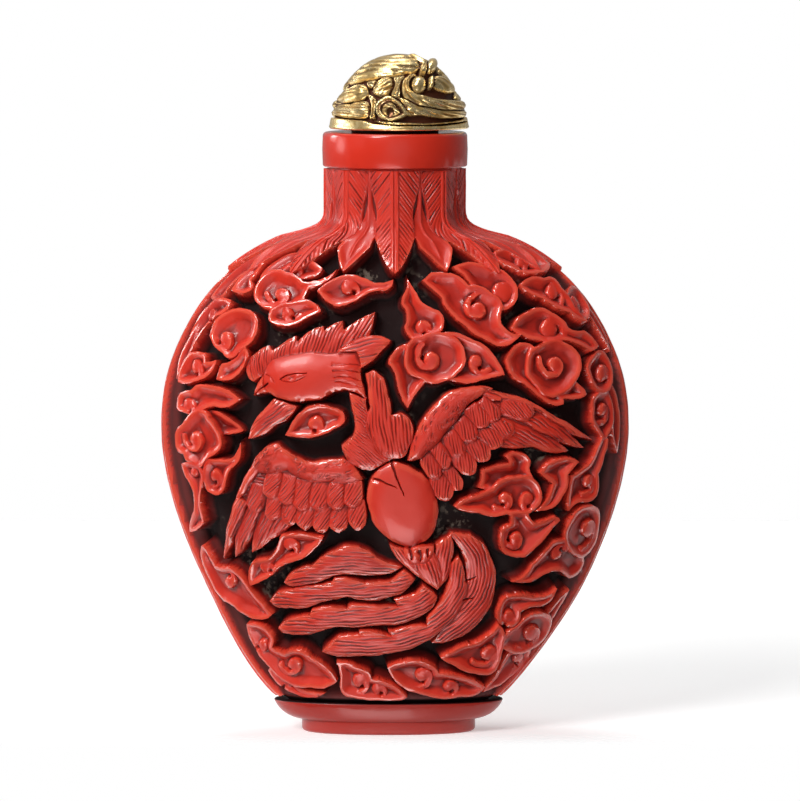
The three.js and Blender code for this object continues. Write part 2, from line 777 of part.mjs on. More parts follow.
    outline: [
      [4.3, 14.2, 0.12], [3, 12.4, 0.08], [-0.95, 11.3, 0.02], [-4.9, 11.1, -0.04], [-8.4, 10.2, 0.06],
      [-10.4, 10.25, 0.12], [-11.75, 10.85, 0.1], [-10.5, 12, 0], [-8.5, 12.4, 0], [-8.4, 12.9, 0.06],
      [-4.7, 13.1, 0], [-4.6, 13.45, 0.02], [0.4, 13.25, 0], [-0.1, 13.95, 0.05], [2, 14.6, 0],
      [2.8, 15.5, 0.1],
    ],
  },
  {
    name: "plume 4",
    level: 0,
    crown: 0.25,
    outline: [
      [-6.95, 8.5, 0.06], [-2.6, 8.15, 0.04], [1.9, 8.9, 0.06], [5, 10.9, 0.08], [7, 13.95, 0.08],
      [7.1, 16.2, 0.05], [6.3, 18.5, 0.05], [5.4, 17.4, -0.04], [4.9, 14.4, 0], [3.3, 12, 0],
      [3.4, 11.4, 0.04], [0.1, 10.9, 0], [-0.5, 10.95, 0], [-0.1, 10.3, 0.05], [-3.4, 10.85, 0],
      [-3.2, 10.5, 0.04], [-5.2, 10.2, 0.1],
    ],
  },
  {
    name: "side sepal left",
    level: -0.2,
    crown: 0.2,
    outline: [
      [-0.7, 19.7, 0], [1, 19.2, 0], [3, 16.3, 0], [4.2, 15.1, 0.05], [1.2, 17.2, 0.1],
    ],
  },
  {
    name: "side sepal right",
    level: -0.15,
    crown: 0.2,
    outline: [
      [4, 19.8, 0], [5.6, 20.6, 0.1], [5.7, 18.2, 0.1], [4.5, 15.1, 0.05], [4.3, 17.4, 0.05],
    ],
  },
  {
    name: "sepal",
    level: -0.02,
    crown: 0.2,
    outline: [
      [0.9, 19.3, 0], [3.9, 18.9, 0.08], [4.6, 16.8, 0.1], [4.35, 14.95, 0.05], [2.4, 16.6, 0.1],
    ],
  },
  {
    name: "ruffle",
    level: 0.05,
    crown: 0.15,
    outline: [
      [1, 19.4, 0], [3.9, 19.6, 0.1], [3.5, 18, 0.2], [2.4, 17.8, 0.2], [1.4, 17.9, 0.2],
    ],
  },
  {
    name: "ear tuft",
    level: 0,
    crown: 0.2,
    outline: [
      [-6, 38.5, 0.05], [-3.6, 40.15, 0.1], [-0.35, 40, 0.05], [-1.8, 38.2, 0.05], [-3.6, 36.9, 0],
    ],
  },
  {
    name: "beak",
    level: -0.2,
    crown: 0.25,
    outline: [
      [-13, 36.8, 0.08], [-14.3, 34.35, 0], [-12.4, 34.6, 0],
    ],
  },
  {
    name: "head",
    level: 0,
    crown: 0.45,
    outline: [
      [-13.2, 36.3, 0.2], [-11.6, 38.15, 0.05], [-7, 38.65, 0], [-3.8, 38.75, 0.02], [-3.3, 37, -0.05],
      [-2.65, 33.95, -0.1], [-5, 34.95, -0.05], [-7.5, 34, 0.06], [-11.4, 34.05, 0.1],
      [-12.8, 34.8, 0.12],
    ],
  },
  {
    name: "body",
    level: 0,
    crown: 0.5,
    outline: [
      [-0.2, 27.95, 0.2], [4.35, 23, 0.2], [1.6, 19.25, 0.2], [-2.8, 24.3, 0.2],
    ],
  },
];
const FEATHERS_OVER_COVERTS = 'left shoulder band'; // rows from here lie over the coverts
// Coverts: [tip s, tip z, bearing in degrees, length, width].
const COVERTS = [
  [14, 32.6, -12, 3.6, 1.9], [11.9, 30.6, -25, 3, 1.9], [10.6, 29.3, -35, 3, 1.9],
  [9.4, 28, -42, 3, 1.9], [7.9, 26.6, -50, 3, 1.9], [6.5, 25, -55, 3, 1.8], [5.4, 24, -60, 3, 1.8],
  [10.3, 31.9, -45, 2.8, 1.8], [9.2, 31.3, -50, 2.8, 1.8], [8, 29.9, -52, 2.8, 1.8],
  [6.7, 28.4, -58, 2.8, 1.8], [5.2, 27.2, -60, 2.8, 1.7], [4.2, 26.2, -62, 2.8, 1.6],
  [-12.4, 21.9, -100, 3.2, 1.8], [-10.7, 21.4, -98, 3.2, 1.8], [-9.1, 20.9, -96, 3.2, 1.8],
  [-7.4, 20.7, -95, 3.2, 1.8], [-5.7, 20.7, -95, 3.2, 1.8], [-3.8, 21, -92, 3.2, 1.8],
  [-14.3, 22.6, -100, 3, 1.8], [-12.5, 24, -98, 3.2, 1.8], [-10.9, 23.4, -98, 3.2, 1.8],
  [-9.3, 22.9, -95, 3.2, 1.8], [-7.7, 22.9, -95, 3.2, 1.8], [-5.9, 23, -94, 3.2, 1.8],
  [-4.2, 23.2, -92, 3.2, 1.9],
];
// The back carries plain rows of three of the front's clouds.
const BACK_PATTERNS = ['rose cloud left', 'foot cloud right', 'great round cloud left'];
const BACK_ROWS = [7.0, 14.0, 21.5, 29.0, 36.5, 43.5];
const BACK_PITCH = 9.6;
const BACK_SCALE = 1.05;
const BACK_REACH = 0.8; // part of the quarter girth that the rows fill

// ---------------------------------------------------------------- small helpers
const clamp = (v, lo, hi) => Math.min(Math.max(v, lo), hi);

function ease(from, to, v) {
  const k = clamp((v - from) / (to - from), 0, 1);
  return k * k * (3 - 2 * k);
}

function cubic(curve, axis, t) {
  const u = 1 - t;
  const [a, b, c, d] = curve.map((p) => p[axis]);
  return u * u * u * a + 3 * u * u * t * b + 3 * u * t * t * c + t * t * t * d;
}

// Returns a function z -> radius for a chain of cubic curves that rise in z.
function profile(curves) {
  const steps = 60;
  const samples = [];
  for (const curve of curves) {
    for (let i = 0; i <= steps; i += 1) {
      samples.push([cubic(curve, 1, i / steps), cubic(curve, 0, i / steps)]);
    }
  }
  samples.sort((p, q) => p[0] - q[0]);
  return (z) => {
    if (z <= samples[0][0]) {
      const [first, second] = [samples[0], samples[8]];
      const slope = (second[1] - first[1]) / (second[0] - first[0]);
      return first[1] + slope * (z - first[0]);
    }
    let lo = 0;
    let hi = samples.length - 1;
    if (z >= samples[hi][0]) {
      return samples[hi][1];
    }
    while (hi - lo > 1) {
      const mid = (lo + hi) >> 1;
      if (samples[mid][0] <= z) {
        lo = mid;
      } else {
        hi = mid;
      }
    }
    const gap = samples[hi][0] - samples[lo][0];
    const k = gap > 0 ? (z - samples[lo][0]) / gap : 0;
    return samples[lo][1] + k * (samples[hi][1] - samples[lo][1]);
  };
}

const halfWidth = profile(WIDTH_CURVES);
const halfDepth = profile(DEPTH_CURVES);
const squareness = (z) => 2 + (SQUARENESS - 2) * clamp((ROUND_FROM_Z - z) / ROUND_OVER, 0, 1);
const lean = (z) => FOOT_LEAN * ease(0, 1, clamp((LEAN_FROM_Z - z) / LEAN_OVER, 0, 1));

// One plan section: a superellipse whose quarter is stored by arc length.
class Ring {
  constructor(a, b, exponent, z, shift = 0) {
    Object.assign(this, { a, b, z, shift });
    const samples = 64;
    this.arc = [0];
    this.points = [[0, b]];
    for (let i = 1; i <= samples; i += 1) {
      const angle = (Math.PI / 2) * (i / samples);
      const x = a * Math.sin(angle) ** (2 / exponent);
      const y = b * Math.max(Math.cos(angle), 0) ** (2 / exponent);
      const [px, py] = this.points[i - 1];
      this.points.push([x, y]);
      this.arc.push(this.arc[i - 1] + Math.hypot(x - px, y - py));
    }
    this.quarter = this.arc[samples];
  }

  // Point at a part t of the quarter, from the front (or back) centre to the side.
  quarterPoint(t) {
    const want = t * this.quarter;
    let i = 1;
    while (i < this.arc.length - 1 && this.arc[i] < want) {
      i += 1;
    }
    const k = (want - this.arc[i - 1]) / Math.max(this.arc[i] - this.arc[i - 1], 1e-9);
    const [p, q] = [this.points[i - 1], this.points[i]];
    return [p[0] + k * (q[0] - p[0]), p[1] + k * (q[1] - p[1])];
  }

  // Point at a part f of the whole girth, from the front centre towards +X.
  point(f) {
    const g = (f - Math.floor(f)) * 4;
    const quadrant = Math.min(Math.floor(g), 3);
    const t = g - quadrant;
    const [x, y] = this.quarterPoint(quadrant % 2 ? 1 - t : t);
    const sx = quadrant < 2 ? 1 : -1;
    const sy = quadrant === 0 || quadrant === 3 ? -1 : 1;
    return new THREE.Vector3(sx * x + this.shift, sy * y, this.z);
  }
}

// ---------------------------------------------------------------- relief
// Turns corner rows into a closed polygon; every arc is a parabola of the stated rise.
function arcs(outline, steps = 6) {
  let area = 0;
  outline.forEach(([x, y], i) => {
    const [nx, ny] = outline[(i + 1) % outline.length];
    area += x * ny - nx * y;
  });
  const side = area > 0 ? -1 : 1;
  const polygon = [];
  outline.forEach(([x, y, bulge], i) => {
    const [nx, ny] = outline[(i + 1) % outline.length];
    const [cx, cy] = [nx - x, ny - y];
    for (let k = 0; k < steps; k += 1) {
      const t = k / steps;
      const rise = 4 * bulge * t * (1 - t) * side;
      polygon.push([x + t * cx - rise * cy, y + t * cy + rise * cx]);
    }
  });
  return polygon;
}

// Distance from a point to a polygon's border, positive inside.
function insideDistance(polygon, s, z) {
  let best = Infinity;
  let inside = false;
  for (let i = 0; i < polygon.length; i += 1) {
    const [ax, ay] = polygon[i];
    const [bx, by] = polygon[(i + 1) % polygon.length];
    const [dx, dy] = [bx - ax, by - ay];
    const u = clamp(((s - ax) * dx + (z - ay) * dy) / (dx * dx + dy * dy + 1e-12), 0, 1);
    best = Math.min(best, Math.hypot(s - ax - u * dx, z - ay - u * dy));
    if (ay > z !== by > z && s < ((bx - ax) * (z - ay)) / (by - ay) + ax) {
      inside = !inside;
    }
  }
  return inside ? best : -best;
}

// How far a motif's top has taken over from what lies under it, across its wall.
const wallCover = (depth) => ease(-WALL_RUN / 2, WALL_RUN / 2, depth);

// A carved motif: lays its top over whatever height is already there.
class Motif {
  constructor(outline, top) {
    this.polygon = arcs(outline);
    this.top = top;
    const xs = this.polygon.map((p) => p[0]);
    const ys = this.polygon.map((p) => p[1]);
    this.low = [Math.min(...xs) - WALL_RUN, Math.min(...ys) - WALL_RUN];
    this.high = [Math.max(...xs) + WALL_RUN, Math.max(...ys) + WALL_RUN];
  }

  lay(height, s, z) {
    if (s < this.low[0] || s > this.high[0] || z < this.low[1] || z > this.high[1]) {
      return height;
    }
    const depth = insideDistance(this.polygon, s, z);
    const cover = wallCover(depth);
    return cover > 0 ? height + (this.top(depth, s, z) - height) * cover : height;
  }
}

function cloudMotif({ level, outline, knobs }) {
  return new Motif(outline, (depth, s, z) => {
    let top = -CLOUD_HOLLOW * ease(CLOUD_RIM, CLOUD_RIM + CLOUD_HOLLOW_RUN, depth);
    for (const [ks, kz, radius] of knobs) {
      const r = Math.hypot(s - ks, z - kz) / radius;
      top = Math.max(top, -CLOUD_HOLLOW + KNOB_HEIGHT * (1 - ease(...KNOB_EDGE, r)));
    }
    return Math.max(level + top, -RELIEF);
  });
}

function pillowMotif({ level, crown, outline }) {
  return new Motif(outline, (depth) => {
    const fall = 1 - clamp(depth / PILLOW_RUN, 0, 1);
    return level - crown * fall * fall;
  });
}

function covertMotif([s, z, bearing, length, width]) {
  const angle = THREE.MathUtils.degToRad(bearing);
  const along = [Math.cos(angle), Math.sin(angle)];
  const corner = (x, y, bulge) => [
    s + along[0] * x * length - along[1] * y * width,
    z + along[1] * x * length + along[0] * y * width,
    bulge,
  ];
  const outline = [
    corner(0, 0, 0.14),
    corner(-0.25, -0.5, 0.04),
    corner(-1, -0.42, 0),
    corner(-1, 0.42, 0.04),
    corner(-0.25, 0.5, 0.14),
  ];
  return new Motif(outline, (_, ps, pz) => {
    const run = 1 + ((ps - s) * along[0] + (pz - z) * along[1]) / length;
    return COVERT_ROOT + (COVERT_TIP - COVERT_ROOT) * clamp(run, 0, 1);
  });
}

function frontMotifs() {
  const over = BIRD.findIndex((row) => row.name === FEATHERS_OVER_COVERTS);
  return [
    ...CLOUDS.map(cloudMotif),
    ...BIRD.slice(0, over).map(pillowMotif),
    ...COVERTS.map(covertMotif),
    ...BIRD.slice(over).map(pillowMotif),
  ];
}

// A copy of a front cloud, moved to (s, z), resized and mirrored when flip is -1.
function movedCloud(name, s, z, flip) {
  const row = CLOUDS.find((cloud) => cloud.name === name);
  const [cs, cz] = [0, 1].map((i) => row.outline.reduce((sum, p) => sum + p[i], 0) / row.outline.length);
  const move = ([ps, pz, ...rest]) => [
    s + flip * BACK_SCALE * (ps - cs),
    z + BACK_SCALE * (pz - cz),
    ...rest,
  ];
  return { level: row.level, outline: row.outline.map(move), knobs: row.knobs.map(move) };
}

function backMotifs() {
  const motifs = [];
  BACK_ROWS.forEach((z, row) => {
    const reach = new Ring(halfWidth(z), halfDepth(z), squareness(z), z).quarter * BACK_REACH;
    const count = Math.max(2, Math.round((2 * reach) / BACK_PITCH) + (row % 2));
    for (let i = 0; i < count; i += 1) {
      const s = -reach + (2 * reach * (i + 0.5)) / count;
      const name = BACK_PATTERNS[(i + row) % BACK_PATTERNS.length];
      motifs.push(cloudMotif(movedCloud(name, s, z, (i + row) % 2 ? -1 : 1)));
    }
  });
  return motifs;
}

const groundDepth = (z) =>
  NECK_RELIEF + (RELIEF - NECK_RELIEF) * ease(NECK_RELIEF_Z, BODY_RELIEF_Z, z);

// Half width of a long neck leaf; it is below zero under the tip.
function leafHalf(z) {
  if (z < LEAF_TIP_Z) {
    return -1;
  }
  const body = LEAF_HALF + LEAF_FLARE * ease(LEAF_FLARE_FROM_Z, LEAF_FLARE_TO_Z, z);
  return body * clamp((z - LEAF_TIP_Z) / LEAF_POINT, 0, 1) ** LEAF_TAPER;
}

// Half width of a short leaf, which flares below the waist of the long ones.
function underLeafHalf(z) {
  if (z < UNDER_LEAF_TIP_Z) {
    return -1;
  }
  const flare = UNDER_LEAF_FLARE * ease(UNDER_LEAF_STEM_Z, UNDER_LEAF_SHOULDER_Z, z);
  const point = (z - UNDER_LEAF_TIP_Z) / (UNDER_LEAF_SHOULDER_Z - UNDER_LEAF_TIP_Z);
  return (UNDER_LEAF_STEM + flare) * clamp(point, 0, 1) ** UNDER_LEAF_TAPER;
}

// Lays the eight long leaves and the eight short ones between them; girth is at this height.
function layLeaves(height, f, z, girth) {
  if (z < LEAF_TIP_Z) {
    return height;
  }
  const turn = f * LEAF_COUNT;
  const toLeaf = Math.abs(turn - Math.round(turn)) * (girth / LEAF_COUNT);
  const toUnder = Math.abs(turn - Math.floor(turn) - 0.5) * (girth / LEAF_COUNT);
  const under = underLeafHalf(z) - toUnder;
  const level = UNDER_LEAF_LEVEL * (1 - ease(UNDER_LEAF_LOW_Z, UNDER_LEAF_FULL_Z, z));
  const scoop = UNDER_LEAF_SCOOP * ease(0, UNDER_LEAF_EDGE, under);
  const h = height + (level - scoop - height) * wallCover(under);
  const rib = LEAF_RIB * (1 - ease(LEAF_RIB_HALF / 2, LEAF_RIB_HALF, toLeaf));
  const blade = rib - LEAF_BEND * clamp(toLeaf / LEAF_HALF, 0, 1);
  return h + (blade - h) * wallCover(leafHalf(z) - toLeaf);
}

// Lays the upright band of each narrow side, with a groove inside its border.
function layBand(height, toSide, z) {
  if (z > BAND_TOP_Z) {
    return height;
  }
  const half = BAND_HALF * clamp((BAND_TOP_Z - z) / BAND_TAPER, 0, 1) ** BAND_POINT;
  const depth = half - toSide;
  if (depth < -WALL_RUN) {
    return height;
  }
  const inside = ease(...BAND_GROOVE_IN, depth) - ease(...BAND_GROOVE_OUT, depth);
  const groove = BAND_GROOVE * inside * ease(...BAND_GROOVE_END_Z, z);
  const level = -BAND_EDGE - BAND_SUNK * ease(...BAND_SUNK_Z, z) - groove;
  return height + (level - height) * wallCover(depth);
}

const FRONT = frontMotifs();
const BACK = backMotifs();

// Height of the carving relative to the envelope, at a part f of the girth.
function carving(f, ring) {
  const { z, quarter } = ring;
  let h = -groundDepth(z);
  const g = f * 4;
  const onFront = g <= 1 || g >= 3;
  const s = (g <= 1 ? g : g >= 3 ? g - 4 : g - 2) * quarter;
  for (const motif of onFront ? FRONT : BACK) {
    h = motif.lay(h, s, z);
  }
  h = layBand(h, Math.abs(Math.abs(s) - quarter), z);
  h = layLeaves(h, f, z, quarter * 4);
  const end = ease(CARVING_BOTTOM_Z, CARVING_BOTTOM_Z + CARVING_END, z);
  return -groundDepth(z) + (h + groundDepth(z)) * end;
}

// ---------------------------------------------------------------- mesh of rings
// Joins rings of equal length into one closed mesh with a pole at each end.
class RingMesh {
  constructor() {
    this.points = [];
    this.faces = [];
    this.weights = [];
    this.last = null;
  }

  addPole(point, weight) {
    const index = this.points.push(point) - 1;
    this.weights.push(weight);
    if (this.last) {
      const n = this.last.length;
      this.last.forEach((v, i) => this.faces.push([v, this.last[(i + 1) % n], index]));
    }
    this.pole = index;
  }

  addRing(points, weight) {
    const ring = points.map((p) => this.points.push(p) - 1);
    ring.forEach((_, i) => this.weights.push(Array.isArray(weight) ? weight[i] : weight));
    const n = ring.length;
    ring.forEach((v, i) => {
      const next = ring[(i + 1) % n];
      if (this.last) {
        this.faces.push([this.last[i], this.last[(i + 1) % n], next], [this.last[i], next, v]);
      } else {
        this.faces.push([this.pole, next, v]);
      }
    });
    this.last = ring;
  }
}

const SLIVER = 0.04; // double area over longest side squared, of the thinnest face made
const TINY_AREA = 1e-5; // double area of the smallest face made
const LEAST_TURN = 0.3; // cosine of the furthest that a face may turn
const SPREAD = 1e-7; // cost of a long move, which settles ties on flat ground

// Removes the vertices that matter least until about the wanted number of faces is left.
// Every vertex that stays keeps its place, so flat faces stay flat.
class Thinner {
  constructor(mesh) {
    this.points = mesh.points;
    this.faces = mesh.faces.map((f) => [...f]);
    this.weights = mesh.weights;
    this.around = this.points.map(() => new Set());
    this.faces.forEach((f, i) => f.forEach((v) => this.around[v].add(i)));
    this.quadrics = this.points.map(() => new Float64Array(10));
    this.faces.forEach((f) => this.addPlane(f));
    this.stamps = new Uint32Array(this.points.length);
    this.heap = [];
    this.points.forEach((_, v) => this.queue(v));
    this.count = this.faces.length;
  }

  normal(f) {
    const [a, b, c] = f.map((v) => this.points[v]);
    const u = new THREE.Vector3().subVectors(b, a);
    const w = new THREE.Vector3().subVectors(c, a);
    return u.cross(w);
  }

  addPlane(f) {
    const n = this.normal(f);
    const area = n.length();
    if (area === 0) {
      return;
    }
    n.divideScalar(area);
    const d = -n.dot(this.points[f[0]]);
    const k = area * ((this.weights[f[0]] + this.weights[f[1]] + this.weights[f[2]]) / 3);
    const terms = [
      n.x * n.x, n.x * n.y, n.x * n.z, n.x * d, n.y * n.y,
      n.y * n.z, n.y * d, n.z * n.z, n.z * d, d * d,
    ];
    f.forEach((v) => terms.forEach((term, i) => {
      this.quadrics[v][i] += k * term;
    }));
  }

  cost(from, to) {
    const p = this.points[to];
    const q = this.quadrics[from];
    const r = this.quadrics[to];
    const m = (i) => q[i] + r[i];
    const error = m(0) * p.x * p.x + 2 * m(1) * p.x * p.y + 2 * m(2) * p.x * p.z + 2 * m(3) * p.x
      + m(4) * p.y * p.y + 2 * m(5) * p.y * p.z + 2 * m(6) * p.y
      + m(7) * p.z * p.z + 2 * m(8) * p.z + m(9);
    return Math.max(error, 0) + SPREAD * this.points[from].distanceToSquared(p);
  }

  neighbours(v) {
    const found = new Set();
    for (const i of this.around[v]) {
      for (const w of this.faces[i]) {
        if (w !== v) {
          found.add(w);
        }
      }
    }
    return found;
  }

  longest(face, from, to) {
    const [a, b, c] = face.map((v) => this.points[v === from ? to : v]);
    return Math.max(a.distanceTo(b), b.distanceTo(c), c.distanceTo(a));
  }

  // A removal is safe when it keeps the surface closed and turns no face over.
  safe(from, to) {
    const nearTo = this.neighbours(to);
    let shared = 0;
    for (const v of this.neighbours(from)) {
      if (nearTo.has(v)) {
        shared += 1;
      }
    }
    if (shared !== 2) {
      return false;
    }
    for (const i of this.around[from]) {
      const face = this.faces[i];
      if (face.includes(to)) {
        continue;
      }
      const before = this.normal(face);
      const after = this.normal(face.map((v) => (v === from ? to : v)));
      const [was, is] = [before.length(), after.length()];
      if (is < TINY_AREA || before.dot(after) < LEAST_TURN * was * is) {
        return false;
      }
      const thinness = is / this.longest(face, from, to) ** 2;
      if (thinness < SLIVER && thinness < was / this.longest(face, from, from) ** 2) {
        return false;
      }
    }
    return true;
  }

  queue(v) {
    if (this.around[v].size === 0) {
      return;
    }
    let best = null;
    for (const to of this.neighbours(v)) {
      const cost = this.cost(v, to);
      if (!best || cost < best.cost) {
        best = { cost, v, to };
      }
    }
    this.stamps[v] += 1;
    best.stamp = this.stamps[v];
    this.push(best);
  }

  push(item) {
    const { heap } = this;
    let i = heap.push(item) - 1;
    while (i > 0) {
      const parent = (i - 1) >> 1;
      if (heap[parent].cost <= item.cost) {
        break;
      }
      heap[i] = heap[parent];
      i = parent;
    }
    heap[i] = item;
  }

  pop() {
    const { heap } = this;
    const top = heap[0];
    const item = heap.pop();
    if (heap.length > 0) {
      let i = 0;
      for (;;) {
        let child = 2 * i + 1;
        if (child >= heap.length) {
          break;
        }
        if (child + 1 < heap.length && heap[child + 1].cost < heap[child].cost) {
          child += 1;
        }
        if (heap[child].cost >= item.cost) {
          break;
        }
        heap[i] = heap[child];
        i = child;
      }
      heap[i] = item;
    }
    return top;
  }

  // The cheapest safe neighbour of a vertex whose first choice was not safe.
  secondChoice(v) {
    const options = [...this.neighbours(v)].map((to) => ({ to, cost: this.cost(v, to) }));
    options.sort((p, q) => p.cost - q.cost);
    return options.find((option) => this.safe(v, option.to));
  }

  remove(from, to) {
    for (const i of [...this.around[from]]) {
      const face = this.faces[i];
      this.around[from].delete(i);
      if (face.includes(to)) {
        face.forEach((v) => this.around[v].delete(i));
        this.faces[i] = null;
        this.count -= 1;
      } else {
        face[face.indexOf(from)] = to;
        this.around[to].add(i);
      }
    }
    for (let i = 0; i < 10; i += 1) {
      this.quadrics[to][i] += this.quadrics[from][i];
    }
    this.stamps[from] += 1;
    this.queue(to);
    for (const v of this.neighbours(to)) {
      this.queue(v);
    }
  }

  thin(wanted) {
    while (this.count > wanted && this.heap.length > 0) {
      const item = this.pop();
      if (item.stamp !== this.stamps[item.v] || this.around[item.v].size === 0) {
        continue;
      }
      if (this.safe(item.v, item.to)) {
        this.remove(item.v, item.to);
        continue;
      }
      const other = item.retried ? null : this.secondChoice(item.v);
      if (other) {
        this.push({ ...item, to: other.to, cost: other.cost, retried: true });
      }
    }
    return this;
  }

  geometry() {
    const map = new Map();
    const positions = [];
    const index = [];
    for (const face of this.faces) {
      if (!face) {
        continue;
      }
      for (const v of face) {
        if (!map.has(v)) {
          map.set(v, positions.length / 3);
          positions.push(...this.points[v].toArray());
        }
        index.push(map.get(v));
      }
    }
    const geometry = new THREE.BufferGeometry();
    geometry.setAttribute('position', new THREE.Float32BufferAttribute(positions, 3));
    geometry.setIndex(index);
    geometry.computeVertexNormals();
    return geometry;
  }
}

// ---------------------------------------------------------------- bottle
// Girth parts of the columns: close together on the front, wider apart on the back.
function girthParts() {
  const parts = [];
  for (let i = 0; i < FRONT_COLUMNS; i += 1) {
    parts.push(-0.25 + (0.5 * i) / FRONT_COLUMNS);
  }
  for (let i = 0; i < BACK_COLUMNS; i += 1) {
    parts.push(0.25 + (0.5 * i) / BACK_COLUMNS);
  }
  return parts;
}

// Heights of the carved rings, evenly spaced along the widest outline.
function carvedHeights() {
  const fine = 2000;
  const lengths = [0];
  const heights = [CARVING_BOTTOM_Z];
  for (let i = 1; i <= fine; i += 1) {
    const z = CARVING_BOTTOM_Z + ((CARVING_TOP_Z - CARVING_BOTTOM_Z) * i) / fine;
    const run = halfWidth(z) - halfWidth(heights[i - 1]);
    lengths.push(lengths[i - 1] + Math.hypot(run, z - heights[i - 1]));
    heights.push(z);
  }
  const count = Math.round(lengths[fine] / CARVING_STEP);
  const picked = [];
  for (let i = 0, k = 0; i <= count; i += 1) {
    while (k < fine && lengths[k] < (lengths[fine] * i) / count) {
      k += 1;
    }
    picked.push(heights[k]);
  }
  return picked;
}

function carvedRing(z, parts) {
  const step = 0.02;
  const ring = new Ring(halfWidth(z), halfDepth(z), squareness(z), z, lean(z));
  const above = new Ring(
    halfWidth(z + step), halfDepth(z + step), squareness(z + step), z + step, lean(z + step),
  );
  return parts.map((part) => {
    const f = part - Math.floor(part);
    const point = ring.point(f);
    const east = ring.point(f + 0.001).sub(ring.point(f - 0.001));
    const up = above.point(f).sub(point);
    const outward = east.cross(up).normalize();
    return point.addScaledVector(outward, carving(f, ring));
  });
}

function plainRing(a, b, exponent, z, parts, shift = 0) {
  const ring = new Ring(a, b, exponent, z, shift);
  return parts.map((part) => ring.point(part));
}

function bottleMesh() {
  const parts = girthParts();
  const mesh = new RingMesh();
  const inside = HOLLOW_WEIGHT;
  const turned = TURNED_WEIGHT;
  const oval = ([a, b], inset, z) =>
    mesh.addRing(plainRing(a - inset, b - inset, FOOT_SQUARENESS, z, parts, FOOT_LEAN), turned);

  // shallow recess, foot and spreading flange
  mesh.addPole(new THREE.Vector3(FOOT_LEAN, 0, FOOT_RECESS), turned);
  FOOT_SECTION.forEach(([inset, z]) => oval(FOOT, inset, z));
  const flangeEdge = FLANGE_TOP_Z - FLANGE_EDGE;
  for (let i = 0; i <= FLANGE_STEPS; i += 1) {
    const angle = (Math.PI / 2) * (i / FLANGE_STEPS);
    const out = Math.sin(angle);
    const a = FOOT[0] + (FLANGE[0] - FOOT[0]) * out;
    const b = FOOT[1] + (FLANGE[1] - FOOT[1]) * out;
    oval([a, b], 0, FOOT_TOP_Z + (flangeEdge - FOOT_TOP_Z) * (1 - Math.cos(angle)));
  }
  FLANGE_SECTION.forEach(([inset, z]) => oval(FLANGE, inset, z));

  // carved body and neck
  const carvedWeights = parts.map((part) => (part < 0.25 ? 1 : BACK_WEIGHT));
  for (const z of carvedHeights()) {
    mesh.addRing(carvedRing(z, parts), carvedWeights);
  }

  // lip, and the hollow down to its floor
  LIP_SECTION.forEach(([radius, z]) => mesh.addRing(plainRing(radius, radius, 2, z, parts), turned));
  const [cavityA, cavityB, cavityH] = CAVITY;
  const neckAngle = Math.acos(MOUTH_RADIUS / cavityA);
  for (let i = CAVITY_RINGS; i > 0; i -= 1) {
    const angle = -Math.PI / 2 + ((Math.PI / 2 + neckAngle) * i) / CAVITY_RINGS;
    const across = Math.cos(angle);
    const depth = Math.max(cavityB * across, Math.min(MOUTH_RADIUS, cavityA * across));
    const z = CAVITY_Z + cavityH * Math.sin(angle);
    mesh.addRing(plainRing(cavityA * across, depth, 2, z, parts), inside);
  }
  mesh.addPole(new THREE.Vector3(0, 0, CAVITY_Z - cavityH), inside);
  return mesh;
}

// ---------------------------------------------------------------- stopper
function plugGeometry() {
  const outline = [
    [0, PLUG_END_Z],
    [PLUG_END_RADIUS - 0.5, PLUG_END_Z],
    [PLUG_END_RADIUS, PLUG_END_Z + 0.5],
    [PLUG_RADIUS, LIP_TOP_Z - 0.2],
    [PLUG_RADIUS, LIP_TOP_Z],
    [PLUG_SHOULDER_RADIUS, LIP_TOP_Z],
    [PLUG_SHOULDER_RADIUS, PLUG_TOP_Z],
    [0, PLUG_TOP_Z],
  ];
  const lathe = new THREE.LatheGeometry(outline.map(([r, z]) => new THREE.Vector2(r, z)), PLUG_SIDES);
  lathe.rotateX(Math.PI / 2);
  return lathe;
}

